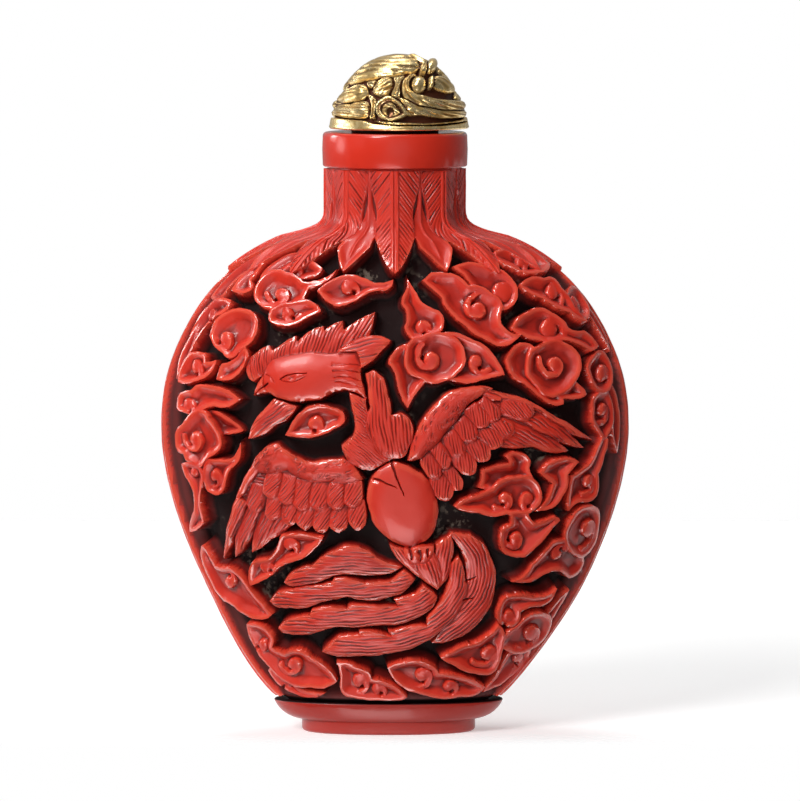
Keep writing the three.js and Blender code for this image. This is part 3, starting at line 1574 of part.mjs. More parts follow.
// Chased parts of the cap, seen from the front: [x, height above the cap's foot, bulge]. The back
// half carries them mirrored, without the knob.
const CAP_KNOB = 'knob stem';
const CAP_SHAPES = [
  {
    name: 'foot band',
    level: -0.05,
    crown: 0.1,
    outline: [
      [-7.6, -0.6, 0], [7.6, -0.6, 0], [7.6, 0.7, 0], [4.4, 0.45, 0], [0, 0.5, 0], [-2.6, 0.7, 0],
      [-3.6, 1, 0], [-7.6, 1.2, 0],
    ],
  },
  {
    name: 'edge scale left',
    level: -0.3,
    crown: 0.2,
    outline: [
      [-7.6, 2.2, 0.1], [-6.7, 3.1, 0.1], [-5.6, 3, 0.1], [-6.2, 2.4, 0],
    ],
  },
  {
    name: 'stem left',
    level: -0.3,
    crown: 0.2,
    outline: [
      [-3.3, 3.5, 0.1], [-2.7, 3.3, 0.15], [-2.5, 2.6, 0], [-2.8, 1.3, 0], [-3.2, 1.3, 0],
      [-2.95, 2.5, -0.1],
    ],
  },
  {
    name: 'stem middle',
    level: -0.25,
    crown: 0.2,
    outline: [
      [-0.55, 5.45, 0], [0.35, 5.6, 0.05], [0.15, 4.6, 0], [0.05, 3.5, 0.1], [-0.7, 3.75, 0.05],
      [-0.35, 4.6, 0],
    ],
  },
  {
    name: 'nub under the fan',
    level: -0.25,
    crown: 0.3,
    outline: [
      [-3.5, 4.95, 0.1], [-2.3, 5.2, 0.1], [-2.6, 4.6, 0.1], [-3.3, 4.5, 0],
    ],
  },
  {
    name: 'edge leaf right',
    level: -0.3,
    crown: 0.3,
    outline: [
      [6.1, 3.75, 0.1], [7.2, 3.1, 0.1], [7.6, 2.3, 0], [6.4, 2.8, 0.1],
    ],
  },
  {
    name: 'leaf low left',
    level: -0.1,
    crown: 0.5,
    outline: [
      [-7.4, 1.65, 0.1], [-6.7, 2.3, 0.1], [-5.2, 2.5, 0.05], [-3.9, 3.05, 0.2], [-3.15, 2.5, 0.2],
      [-3.35, 1.55, 0.1], [-4.8, 1.35, 0.05],
    ],
  },
  {
    name: 'leaf high left',
    level: 0,
    crown: 0.55,
    outline: [
      [-6.6, 2.95, 0.1], [-6.1, 3.65, 0.1], [-5.2, 4.35, 0.08], [-4.1, 4.7, 0.18], [-3.4, 4.3, 0.2],
      [-3.8, 3.5, 0.1], [-4.9, 3.05, 0.05],
    ],
  },
  {
    name: 'ribbed leaf',
    level: 0,
    crown: 0.55,
    outline: [
      [-2.65, 4.05, 0.1], [-2.3, 4.95, 0.1], [-1.3, 5.5, 0.18], [-0.65, 5, 0.15], [-0.9, 4.2, 0.12],
      [-1.8, 3.85, 0.1],
    ],
  },
  {
    name: 'fan',
    level: 0.05,
    crown: 0.45,
    outline: [
      [-5.5, 4.75, 0.08], [-4.7, 6, 0.06], [-2.6, 7.6, 0.05], [0.5, 8.1, 0.05], [2.2, 7.3, 0.1],
      [2.45, 6.45, 0.1], [0.9, 6.05, -0.03], [-0.6, 5.65, 0], [-2.2, 5.5, 0.02], [-3.8, 5.25, 0],
    ],
  },
  {
    name: 'low wave',
    level: -0.1,
    crown: 0.3,
    outline: [
      [-2.8, 1.05, 0], [-0.6, 0.95, 0], [2.7, 0.75, 0], [5.5, 0.85, 0], [7.6, 1.15, 0], [7.6, 0.75, 0],
      [2.7, 0.5, 0], [-1.5, 0.6, 0],
    ],
  },
  {
    name: 'middle wave',
    level: 0,
    crown: 0.4,
    outline: [
      [-0.1, 3.5, 0.05], [2, 2.6, 0], [4.4, 2.15, 0], [7.6, 1.9, 0], [7.6, 1.1, 0], [4.6, 1.2, 0],
      [2.4, 1.55, 0], [0.6, 1.5, 0.05], [0.6, 2.4, 0],
    ],
  },
  {
    name: 'high wave',
    level: 0.05,
    crown: 0.45,
    outline: [
      [0.2, 4.5, 0.14], [0.75, 5.5, 0.16], [1.9, 5.75, 0.16], [2.75, 5.2, 0.04], [2.3, 5.45, -0.16],
      [1.2, 5.2, -0.14], [1.25, 4.2, -0.08], [2.5, 3.7, -0.03], [4.6, 3.2, 0], [6.6, 2.95, 0.1],
      [7.6, 2.2, 0], [7.6, 1.8, 0], [4.4, 2.05, 0], [2, 2.55, 0.04], [0.55, 3.4, 0.1],
    ],
  },
  {
    name: 'leaf right',
    level: 0,
    crown: 0.5,
    outline: [
      [3.3, 5.35, 0.1], [4.5, 5.65, 0.12], [5.6, 4.85, 0.1], [6, 3.95, 0.12], [4.8, 4, 0],
      [3.4, 4.5, 0.1],
    ],
  },
  {
    name: 'round boss',
    level: 0.1,
    crown: 0.6,
    outline: [
      [1.25, 4.75, 0.21], [2.05, 5.5, 0.21], [2.85, 4.75, 0.21], [2.05, 4.05, 0.21],
    ],
  },
  {
    name: 'small boss',
    level: 0.12,
    crown: 0.4,
    outline: [
      [2.95, 5.3, 0.1], [3.35, 5.35, 0.1], [3.3, 4.3, 0.1], [2.9, 4.4, 0.1],
    ],
  },
  {
    name: 'oval ring',
    level: 0,
    crown: 0.12,
    outline: [
      [-2.35, 2.1, 0.2], [-1.9, 3.1, 0.2], [-0.8, 3.45, 0.16], [0.75, 2.2, 0.14], [-0.5, 1.25, 0.12],
      [-1.6, 1.25, 0.16],
    ],
  },
  {
    name: 'oval hollow',
    level: -0.35,
    crown: -0.1,
    outline: [
      [-2, 2.1, 0.2], [-1.65, 2.85, 0.2], [-0.8, 3.1, 0.16], [0.25, 2.2, 0.14], [-0.6, 1.55, 0.12],
      [-1.5, 1.5, 0.16],
    ],
  },
  {
    name: 'oval boss',
    level: -0.02,
    crown: 0.35,
    outline: [
      [-1.55, 2.15, 0.2], [-1, 2.8, 0.2], [-0.3, 2.2, 0.2], [-0.95, 1.65, 0.2],
    ],
  },
  {
    name: 'knob stem',
    level: 0.2,
    crown: 0.3,
    outline: [
      [2.2, 5.75, 0], [2.75, 5.75, 0], [2.95, 6.7, 0.2], [2.35, 6.85, 0.1],
    ],
  },
  {
    name: 'twig',
    level: 0.3,
    crown: 0.2,
    outline: [
      [0.9, 7.35, 0], [1.5, 7.35, 0], [2.7, 6.75, 0], [2.5, 6.5, 0],
    ],
  },
  {
    name: 'top knob',
    level: 0.5,
    crown: 0.45,
    outline: [
      [2.75, 6.4, 0.21], [3.3, 6.95, 0.21], [3.85, 6.4, 0.21], [3.3, 5.85, 0.21],
    ],
  },
];

const CAP_FRONT = CAP_SHAPES.map(pillowMotif);
const CAP_BACK = CAP_SHAPES.slice(0, CAP_SHAPES.findIndex((row) => row.name === CAP_KNOB)).map(pillowMotif);

function capHeight(motifs, x, height) {
  return motifs.reduce((h, motif) => motif.lay(h, x, height), -CAP_RELIEF);
}

function capGeometry() {
  const mesh = new RingMesh();
  const tall = CAP_TOP_Z - PLUG_TOP_Z;
  const angles = Array.from({ length: CAP_COLUMNS }, (_, i) => (2 * Math.PI * i) / CAP_COLUMNS);
  const ring = (r, z) => angles.map((a) => new THREE.Vector3(r * Math.cos(a), r * Math.sin(a), z));
  mesh.addPole(new THREE.Vector3(0, 0, 0), 1);
  mesh.addRing(ring(CAP_RADIUS - CAP_EDGE, 0), 1);
  mesh.addRing(ring(CAP_RADIUS, CAP_EDGE), 1);
  for (let i = 1; i < CAP_RINGS; i += 1) {
    const rise = (Math.PI / 2) * (i / CAP_RINGS);
    const points = angles.map((a) => {
      const across = new THREE.Vector3(Math.cos(a), Math.sin(a), 0);
      const point = across.clone().multiplyScalar(CAP_RADIUS * Math.cos(rise));
      point.z = CAP_EDGE + (tall - CAP_EDGE) * Math.sin(rise);
      const outward = across.multiplyScalar(Math.cos(rise)).setZ(Math.sin(rise)).normalize();
      const back = ease(-CAP_BLEND, CAP_BLEND, point.y);
      const front = back < 1 ? capHeight(CAP_FRONT, point.x, point.z) : 0;
      const behind = back > 0 ? capHeight(CAP_BACK, -point.x, point.z) : 0;
      const h = (front + (behind - front) * back) * ease(0, CAP_EDGE * 3, point.z - CAP_EDGE);
      return point.addScaledVector(outward, h);
    });
    mesh.addRing(points, 1);
  }
  mesh.addPole(new THREE.Vector3(0, 0, tall + capHeight(CAP_FRONT, 0, tall)), 1);
  return new Thinner(mesh).thin(CAP_TRIANGLES).geometry();
}

// ---------------------------------------------------------------- assembly
function piece(name, geometry, color, roughness, metalness) {
  const material = new THREE.MeshStandardMaterial({ color, roughness, metalness });
  const mesh = new THREE.Mesh(geometry, material);
  mesh.name = name;
  return mesh;
}

const snuffBottle = new THREE.Group();
const body = new Thinner(bottleMesh()).thin(BOTTLE_TRIANGLES).geometry();
snuffBottle.add(piece('bottle', body, RED, 0.25, 0));
snuffBottle.add(piece('stopper_plug', plugGeometry(), DARK, 0.5, 0));

const cap = piece('stopper_cap', capGeometry(), GILT, 0.3, 1);
cap.position.set(CAP_OFFSET_X, 0, PLUG_TOP_Z);
snuffBottle.add(cap);

export default snuffBottle;
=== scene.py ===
"""Looks of a carved red lacquer snuff bottle with a gilt stopper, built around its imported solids.

Lengths in the classes are in millimetres, and MM turns them into Blender's metres. The carving is
laid out flat: s runs along the surface from the front's (or the back's) centre line, z is height.
"""

import logging
import math
from dataclasses import dataclass, field
from enum import Enum

import bpy
import numpy as np
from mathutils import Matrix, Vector


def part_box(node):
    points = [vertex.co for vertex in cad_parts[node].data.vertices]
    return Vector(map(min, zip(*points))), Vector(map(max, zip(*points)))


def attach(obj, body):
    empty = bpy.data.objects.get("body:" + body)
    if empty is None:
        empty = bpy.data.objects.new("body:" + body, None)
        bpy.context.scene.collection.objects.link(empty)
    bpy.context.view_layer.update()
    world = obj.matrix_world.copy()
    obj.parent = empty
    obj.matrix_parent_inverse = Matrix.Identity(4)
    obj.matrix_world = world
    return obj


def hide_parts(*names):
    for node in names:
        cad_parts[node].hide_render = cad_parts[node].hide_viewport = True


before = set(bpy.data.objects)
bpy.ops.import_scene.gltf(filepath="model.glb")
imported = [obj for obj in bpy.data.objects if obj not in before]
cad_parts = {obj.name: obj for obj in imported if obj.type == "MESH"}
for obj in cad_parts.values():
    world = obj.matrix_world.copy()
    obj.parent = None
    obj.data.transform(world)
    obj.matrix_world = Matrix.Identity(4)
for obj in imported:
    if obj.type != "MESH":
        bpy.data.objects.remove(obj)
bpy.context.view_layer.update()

logging.basicConfig(level=logging.INFO, format="%(message)s")
log = logging.getLogger("snuff bottle")

MM = 0.001

Corner = tuple[float, float, float]
Knob = tuple[float, float, float, float, float]


# ------------------------------------------------------------------ helpers on arrays
def ease(low: float, high: float, value: np.ndarray | float) -> np.ndarray | float:
    """Smooth step from 0 at low to 1 at high.

    Args:
        low: where the step starts; it may be above high for a falling step.
        high: where the step ends.
        value: the value or values to place on it.

    Returns:
        Values from 0 to 1.
    """
    k = np.clip((value - low) / (high - low), 0.0, 1.0)
    return k * k * (3.0 - 2.0 * k)


def furrow(phase: np.ndarray, share: float = 0.55) -> np.ndarray:
    """V-shaped furrows, one per unit of phase.

    Args:
        phase: position across the furrows, in furrows.
        share: the part of each unit that is cut.

    Returns:
        1 at the bottom of a furrow and 0 between furrows.
    """
    return np.clip(1.0 - np.abs(phase - np.floor(phase) - 0.5) * 2.0 / share, 0.0, 1.0)


def own(index: np.ndarray | float) -> np.ndarray | float:
    """A number from 0 to 1 that belongs to an index, with no order from one to the next."""
    return np.modf(np.abs(np.sin(np.asarray(index) * 12.9898 + 4.1)) * 437.585)[0]


def strokes(phase: np.ndarray, along: np.ndarray) -> tuple[np.ndarray, np.ndarray]:
    """Knife strokes side by side, which waver, and fade where the knife was lifted.

    Args:
        phase: position across the strokes, in strokes.
        along: distance along them, in millimetres.

    Returns:
        The wavered position, and how hard each stroke is cut, from 0 to 1.
    """
    wavered = phase + 0.1 * np.sin(1.3 * along + 0.5 * phase)
    hand = own(np.floor(wavered))
    pressure = ease(-0.75, 0.2, np.sin(1.5 * along + 6.28 * hand))
    return wavered, (0.3 + 0.7 * pressure) * (0.6 + 0.4 * hand)


def soften(values: np.ndarray, rows: int, columns: int) -> np.ndarray:
    """Blurs a grid that wraps round in its columns, by two passes of a running mean.

    Args:
        values: the grid.
        rows: half width of the mean down the rows.
        columns: half width of the mean along the columns.

    Returns:
        The blurred grid.
    """
    out = values
    for _ in range(2):
        for axis, half, mode in ((0, rows, "edge"), (1, columns, "wrap")):
            pad = [(0, 0), (0, 0)]
            pad[axis] = (half + 1, half)
            sums = np.cumsum(np.pad(out, pad, mode=mode), axis=axis)
            span = 2 * half + 1
            upper = np.take(sums, range(span, sums.shape[axis]), axis=axis)
            lower = np.take(sums, range(0, sums.shape[axis] - span), axis=axis)
            out = (upper - lower) / span
    return out


def bowed(corners: list[Corner], steps: int = 7) -> np.ndarray:
    """Turns corners into a closed outline whose sides are shallow arcs.

    Args:
        corners: rows of (s, z, bulge); bulge is the rise of the arc to the next corner as a part
            of its chord, positive outwards.
        steps: points per side.

    Returns:
        The outline's points.
    """
    points = np.array([c[:2] for c in corners], float)
    bulges = [c[2] for c in corners]
    after = np.roll(points, -1, axis=0)
    area = np.sum(points[:, 0] * after[:, 1] - after[:, 0] * points[:, 1])
    turn = -1.0 if area > 0 else 1.0
    t = np.arange(steps) / steps
    sides = []
    for start, end, bulge in zip(points, after, bulges):
        chord = end - start
        rise = 4.0 * bulge * t * (1.0 - t) * turn
        sides.append(start + np.outer(t, chord) + np.outer(rise, (-chord[1], chord[0])))
    return np.vstack(sides)


def inner_distance(s: np.ndarray, z: np.ndarray, outline: np.ndarray) -> np.ndarray:
    """Distance to an outline, positive inside it.

    Args:
        s: first coordinates of the points asked about.
        z: second coordinates.
        outline: the outline's points.

    Returns:
        The distances.
    """
    nearest = np.full(s.shape, np.inf)
    inside = np.zeros(s.shape, bool)
    for (ax, ay), (bx, by) in zip(outline, np.roll(outline, -1, axis=0)):
        dx, dy = bx - ax, by - ay
        u = np.clip(((s - ax) * dx + (z - ay) * dy) / (dx * dx + dy * dy + 1e-12), 0.0, 1.0)
        nearest = np.minimum(nearest, (s - ax - u * dx) ** 2 + (z - ay - u * dy) ** 2)
        if ay != by:
            inside ^= ((ay > z) != (by > z)) & (s < (bx - ax) * (z - ay) / (by - ay) + ax)
    return np.where(inside, 1.0, -1.0) * np.sqrt(nearest)


def along_curve(
    s: np.ndarray, z: np.ndarray, points: np.ndarray
) -> tuple[np.ndarray, np.ndarray, np.ndarray]:
    """Places points on a polyline.

    Args:
        s: first coordinates of the points asked about.
        z: second coordinates.
        points: the polyline.

    Returns:
        The distance to it, the part of it that is nearest from 0 to 1, and the distance again
        with a sign for the side.
    """
    nearest = np.full(s.shape, 1e9)
    part = np.zeros(s.shape)
    sided = np.zeros(s.shape)
    count = len(points) - 1
    for i in range(count):
        (ax, ay), (bx, by) = points[i], points[i + 1]
        dx, dy = bx - ax, by - ay
        u = np.clip(((s - ax) * dx + (z - ay) * dy) / (dx * dx + dy * dy + 1e-12), 0.0, 1.0)
        ex, ey = s - ax - u * dx, z - ay - u * dy
        r = np.hypot(ex, ey)
        closer = r < nearest
        nearest = np.where(closer, r, nearest)
        part = np.where(closer, (i + u) / count, part)
        sided = np.where(closer, r * np.sign(dx * ey - dy * ex), sided)
    return nearest, part, sided


def bent_line(flow: tuple[float, ...], steps: int = 12) -> np.ndarray:
    """Points of a quadratic curve from (s0, z0) by way of (s1, z1) to (s2, z2)."""
    t = np.linspace(0.0, 1.0, steps + 1)[:, None]
    a, b, c = (np.array(flow[i : i + 2]) for i in (0, 2, 4))
    return (1 - t) ** 2 * a + 2 * t * (1 - t) * b + t * t * c


# ------------------------------------------------------------------ carving
# depth of the ground, and how walls and the edges of tops run
RELIEF = 2.2
WALL_RUN = 0.14
SKIRT_RUN = 0.5
SKIRT_POWER = 0.4
EDGE_ROUNDING = 0.12
EDGE_DROP = 0.07
# the cavity mark on an even surface, and the height for its whole span
EVEN = 0.5
CAVITY_DEPTH = 0.4
SHARP_ANGLE = 50.0
MARKS = ("depth", "cavity", "open_ground", "stroke", "press")


def rounded_edge(inner: np.ndarray, run: float = EDGE_ROUNDING) -> np.ndarray:
    """How far a top falls towards its edge, at distances inside its outline."""
    return EDGE_DROP * (1 - np.clip(inner / run, 0, 1)) ** 2


def cavity_mark(height: np.ndarray, rows: int, columns: int) -> np.ndarray:
    """How far a height stands out from its surroundings.

    Args:
        height: the grid of heights.
        rows: half width of the surroundings down the rows.
        columns: half width along the columns.

    Returns:
        Values from 0 in a crease to 1 on an arris.
    """
    return np.clip(EVEN + (height - soften(height, rows, columns)) / CAVITY_DEPTH, 0, 1)


@dataclass
class Field:
    """A flat layout of the carving.

    s and z are its coordinates, and height is what has been reached so far. open_ground is 1 off the
    motifs; stroke counts knife strokes across a motif and press is how hard they are cut.

    The finish reads them from the mesh as MARKS, with two more: depth, which is the part of the
    relief that is cut away, and cavity, which is above EVEN on an arris and below it in a crease.
    """

    s: np.ndarray
    z: np.ndarray
    height: np.ndarray
    open_ground: np.ndarray | None = None
    stroke: np.ndarray | None = None
    press: np.ndarray | None = None

    def __post_init__(self) -> None:
        """Starts the marks of a bare ground."""
        if self.open_ground is None:
            self.open_ground = np.ones(self.height.shape)
            self.stroke = np.zeros(self.height.shape)
            self.press = np.zeros(self.height.shape)

    def near(self, outline: np.ndarray) -> np.ndarray:
        """Mask of the points within a wall's width of an outline's box."""
        (s0, z0), (s1, z1) = outline.min(axis=0) - SKIRT_RUN, outline.max(axis=0) + SKIRT_RUN
        return (self.s > s0) & (self.s < s1) & (self.z > z0) & (self.z < z1)

    def lay(self, mask: np.ndarray, top: np.ndarray, inner: np.ndarray, edge: float) -> None:
        """Lays a motif over what is there, with a wall that spreads towards its foot.

        Args:
            mask: the points that the motif may change.
            top: its heights at those points.
            inner: their distances inside its outline.
            edge: the height of its edge.
        """
        old = self.height[mask]
        cover = ease(-WALL_RUN / 2, WALL_RUN / 2, inner)
        laid = old + (np.maximum(top, -RELIEF) - old) * cover
        skirt = edge - RELIEF * (np.clip(-inner, 0, None) / SKIRT_RUN) ** SKIRT_POWER
        self.height[mask] = np.where(inner < 0, np.maximum(laid, skirt), laid)
        wall = (inner < 0) & (skirt > old)
        self.open_ground[mask] = np.where(inner > 0, 0.0, np.where(wall, 1.0, self.open_ground[mask]))
        self.press[mask] = np.where((inner > 0) | wall, 0.0, self.press[mask])

    def mark_strokes(self, mask: np.ndarray, phase: np.ndarray, press: np.ndarray) -> None:
        """Notes the knife strokes of a motif.

        Args:
            mask: the points near the motif.
            phase: position across the strokes, in strokes.
            press: how hard they are cut, 0 off the motif.
        """
        here = press > 0
        self.stroke[mask] = np.where(here, phase, self.stroke[mask])
        self.press[mask] = np.where(here, press, self.press[mask])


@dataclass(frozen=True)
class Cloud:
    """A scroll cloud: a raised border round a hollow, with curled knobs rising in it."""

    name: str
    level: float
    corners: list[Corner]
    knobs: list[Knob]
    border: float = 0.2
    hollow: float = 0.62
    hollow_run: float = 1.0
    dome_drop: float = 0.08
    dome_fall: float = 0.16
    dome_wall: float = 3.0
    curl_half: float = 0.3
    curl_reach: float = 2.0
    curl_drop: float = 0.12
    curl_fall: float = 0.08
    curl_wall: float = 2.4
    pit: float = 0.45
    pit_turn: float = 0.8
    pit_reach: float = 1.3
    pit_edges: tuple[float, float] = (0.3, 0.08)

    def carve(self, flat: Field) -> None:
        """Carves the cloud, its knobs, and the pit in the crook of each curl.

        Args:
            flat: the layout that it is carved into.
        """
        outline = bowed(self.corners)
        mask = flat.near(outline)
        s, z = flat.s[mask], flat.z[mask]
        inner = inner_distance(s, z, outline)
        top = -rounded_edge(inner)
        top -= self.hollow * ease(self.border, self.border + self.hollow_run, inner)
        for knob in self.knobs:
            top = np.maximum(top, self.knob_top(s, z, knob))
        for cs, cz, radius, bearing, sweep in self.knobs:
            turn = math.radians(bearing + self.pit_turn * sweep)
            reach = self.pit_reach * radius
            away = np.hypot(s - cs - reach * math.cos(turn), z - cz - reach * math.sin(turn))
            top -= self.pit * (sweep != 0) * ease(*self.pit_edges, away)
        flat.lay(mask, self.level + top, inner, self.level - EDGE_DROP)

    def knob_top(self, s: np.ndarray, z: np.ndarray, knob: Knob) -> np.ndarray:
        """Height of a domed knob and of the arm that curls out of it.

        Args:
            s: first coordinates.
            z: second coordinates.
            knob: centre s and z, radius, bearing of the arm's start, and its sweep in degrees.

        Returns:
            Heights, very low away from the knob.
        """
        cs, cz, radius, bearing, sweep = knob
        r = np.hypot(s - cs, z - cz)
        top = -self.dome_drop - self.dome_fall * np.clip(r / radius, 0, 2) ** 2
        top -= self.dome_wall * np.maximum(r - radius, 0)
        if sweep:
            t = np.linspace(0.0, 1.0, 15)
            angle = np.radians(bearing + sweep * t)
            reach = radius * (0.5 + self.curl_reach * t**1.4)
            arm = np.stack([cs + reach * np.cos(angle), cz + reach * np.sin(angle)], axis=1)
            away, part, _ = along_curve(s, z, arm)
            half = self.curl_half * (1.2 - 0.5 * part)
            curl = -self.curl_drop - self.curl_fall * part
            top = np.maximum(top, curl - self.curl_wall * np.maximum(away - half, 0))
        return top


class Cut(Enum):
    """How the knife finished a part of the bird."""

    PLAIN = "plain"
    COMB = "comb"
    SLANT = "slant"
    BARBS = "barbs"
    MESH = "mesh"
    FLECK = "fleck"


@dataclass(frozen=True)
class Feather:
    """A pillowed part of the bird, or of the cap, cut with fine furrows along its flow line."""

    name: str
    level: float
    crown: float
    cut: Cut
    flow: tuple[float, ...]
    corners: list[Corner]
    pitch: float = 0.36
    depth: float = 0.05
    tilt: float = 0.0
    drift: float = 0.16
    pillow_run: float = 2.2
    least_run: float = 0.3
    uncut_edge: tuple[float, float] = (0.08, 0.22)

    def carve(self, flat: Field) -> None:
        """Carves the part and its furrows.

        Args:
            flat: the layout that it is carved into.
        """
        outline = bowed(self.corners)
        mask = flat.near(outline)
        s, z = flat.s[mask], flat.z[mask]
        inner = inner_distance(s, z, outline)
        run = min(float(inner.max(initial=self.least_run)), self.pillow_run)
        top = self.level - self.crown * (1 - np.clip(inner / run, 0, 1)) ** 2
        top -= rounded_edge(inner)
        _, part, sided = along_curve(s, z, bent_line(self.flow))
        length = math.hypot(self.flow[4] - self.flow[0], self.flow[5] - self.flow[1])
        top += self.tilt * part
        phase, press = self.furrows(s, z, part * length, sided)
        press = press * ease(*self.uncut_edge, inner)
        top -= self.depth * furrow(phase) * press
        flat.lay(mask, top, inner, self.level - self.crown - EDGE_DROP)
        flat.mark_strokes(mask, phase, press)

    def furrows(
        self, s: np.ndarray, z: np.ndarray, run: np.ndarray, sided: np.ndarray
    ) -> tuple[np.ndarray, np.ndarray]:
        """Pattern of the fine cuts.

        Args:
            s: first coordinates.
            z: second coordinates.
            run: distance along the flow line.
            sided: signed distance from it.

        Returns:
            Position across the cuts, in cuts, and how hard they are cut.
        """
        if self.cut is Cut.COMB:
            return strokes((sided + self.drift * run) / self.pitch, run)
        if self.cut is Cut.SLANT:
            return strokes((0.9 * run - 0.8 * sided) / self.pitch, sided)
        if self.cut is Cut.BARBS:
            return strokes((0.84 * sided + self.drift * run) / self.pitch, run)
        if self.cut is Cut.MESH:
            phase, press = strokes((s + 1.3 * z) / (1.2 * self.pitch), s - z)
            gaps = furrow((s - 0.9 * z) / (1.6 * self.pitch), 0.5)
            return phase, press * (1 - gaps)
        if self.cut is Cut.FLECK:
            phase, press = strokes((sided - 0.5 * run) / (1.1 * self.pitch), run)
            dash = run / (2.6 * self.pitch) + 3 * own(np.floor(phase))
            skipped = ease(0.35, 0.45, own(np.floor(dash) + 17 * np.floor(phase)))
            return phase, press * skipped * ease(0.1, 0.5, furrow(dash, 0.9))
        return np.zeros(s.shape), np.zeros(s.shape)


@dataclass(frozen=True)
class Covert:
    """A short overlapping wing feather, placed by its tip."""

    s: float
    z: float
    bearing: float
    length: float
    width: float
    level: float = -0.5
    crown: float = 0.14
    rise: float = 0.36
    pitch: float = 0.28
    depth: float = 0.02
    drift: float = 0.4

    def carve(self, flat: Field) -> None:
        """Carves the feather, higher at its tip than at its root.

        Args:
            flat: the layout that it is carved into.
        """
        angle = math.radians(self.bearing)
        along = np.array([math.cos(angle), math.sin(angle)])
        aside = np.array([-along[1], along[0]])
        tip = np.array([self.s, self.z])

        def corner(back: float, side: float, bulge: float) -> Corner:
            """A corner by its distance behind the tip and its part of the width to one side."""
            point = tip - along * back + aside * side * self.width
            return (float(point[0]), float(point[1]), bulge)

        shoulder = 0.38 * self.width
        corners = [
            corner(0, 0.08, 0.12),
            corner(shoulder, -0.5, 0.04),
            corner(self.length, -0.42, 0),
            corner(self.length, 0.42, 0.04),
            corner(shoulder, 0.5, 0.12),
        ]
        root = tip - along * self.length
        flow = (*root, *(tip - along * self.length / 2), *tip)
        hand = float(own(self.s + 3.0 * self.z))
        level = self.level + 0.12 * hand
        drift = self.drift + 0.3 * hand
        cuts = {"pitch": self.pitch, "depth": self.depth, "drift": drift}
        feather = Feather(
            "covert", level, self.crown, Cut.BARBS, flow, corners, tilt=self.rise, **cuts
        )
        feather.carve(flat)


@dataclass(frozen=True)
class Nick:
    """A single tapering knife cut along a bent line."""

    flow: tuple[float, ...]
    start: float
    end: float
    depth: float

    def carve(self, flat: Field) -> None:
        """Cuts the nick.

        Args:
            flat: the layout that it is cut into.
        """
        line = bent_line(self.flow)
        mask = flat.near(np.vstack([line - self.start, line + self.start]))
        away, part, _ = along_curve(flat.s[mask], flat.z[mask], line)
        half = self.start + (self.end - self.start) * part
        flat.height[mask] -= self.depth * (1 - ease(0.3, 1.2, away / half))


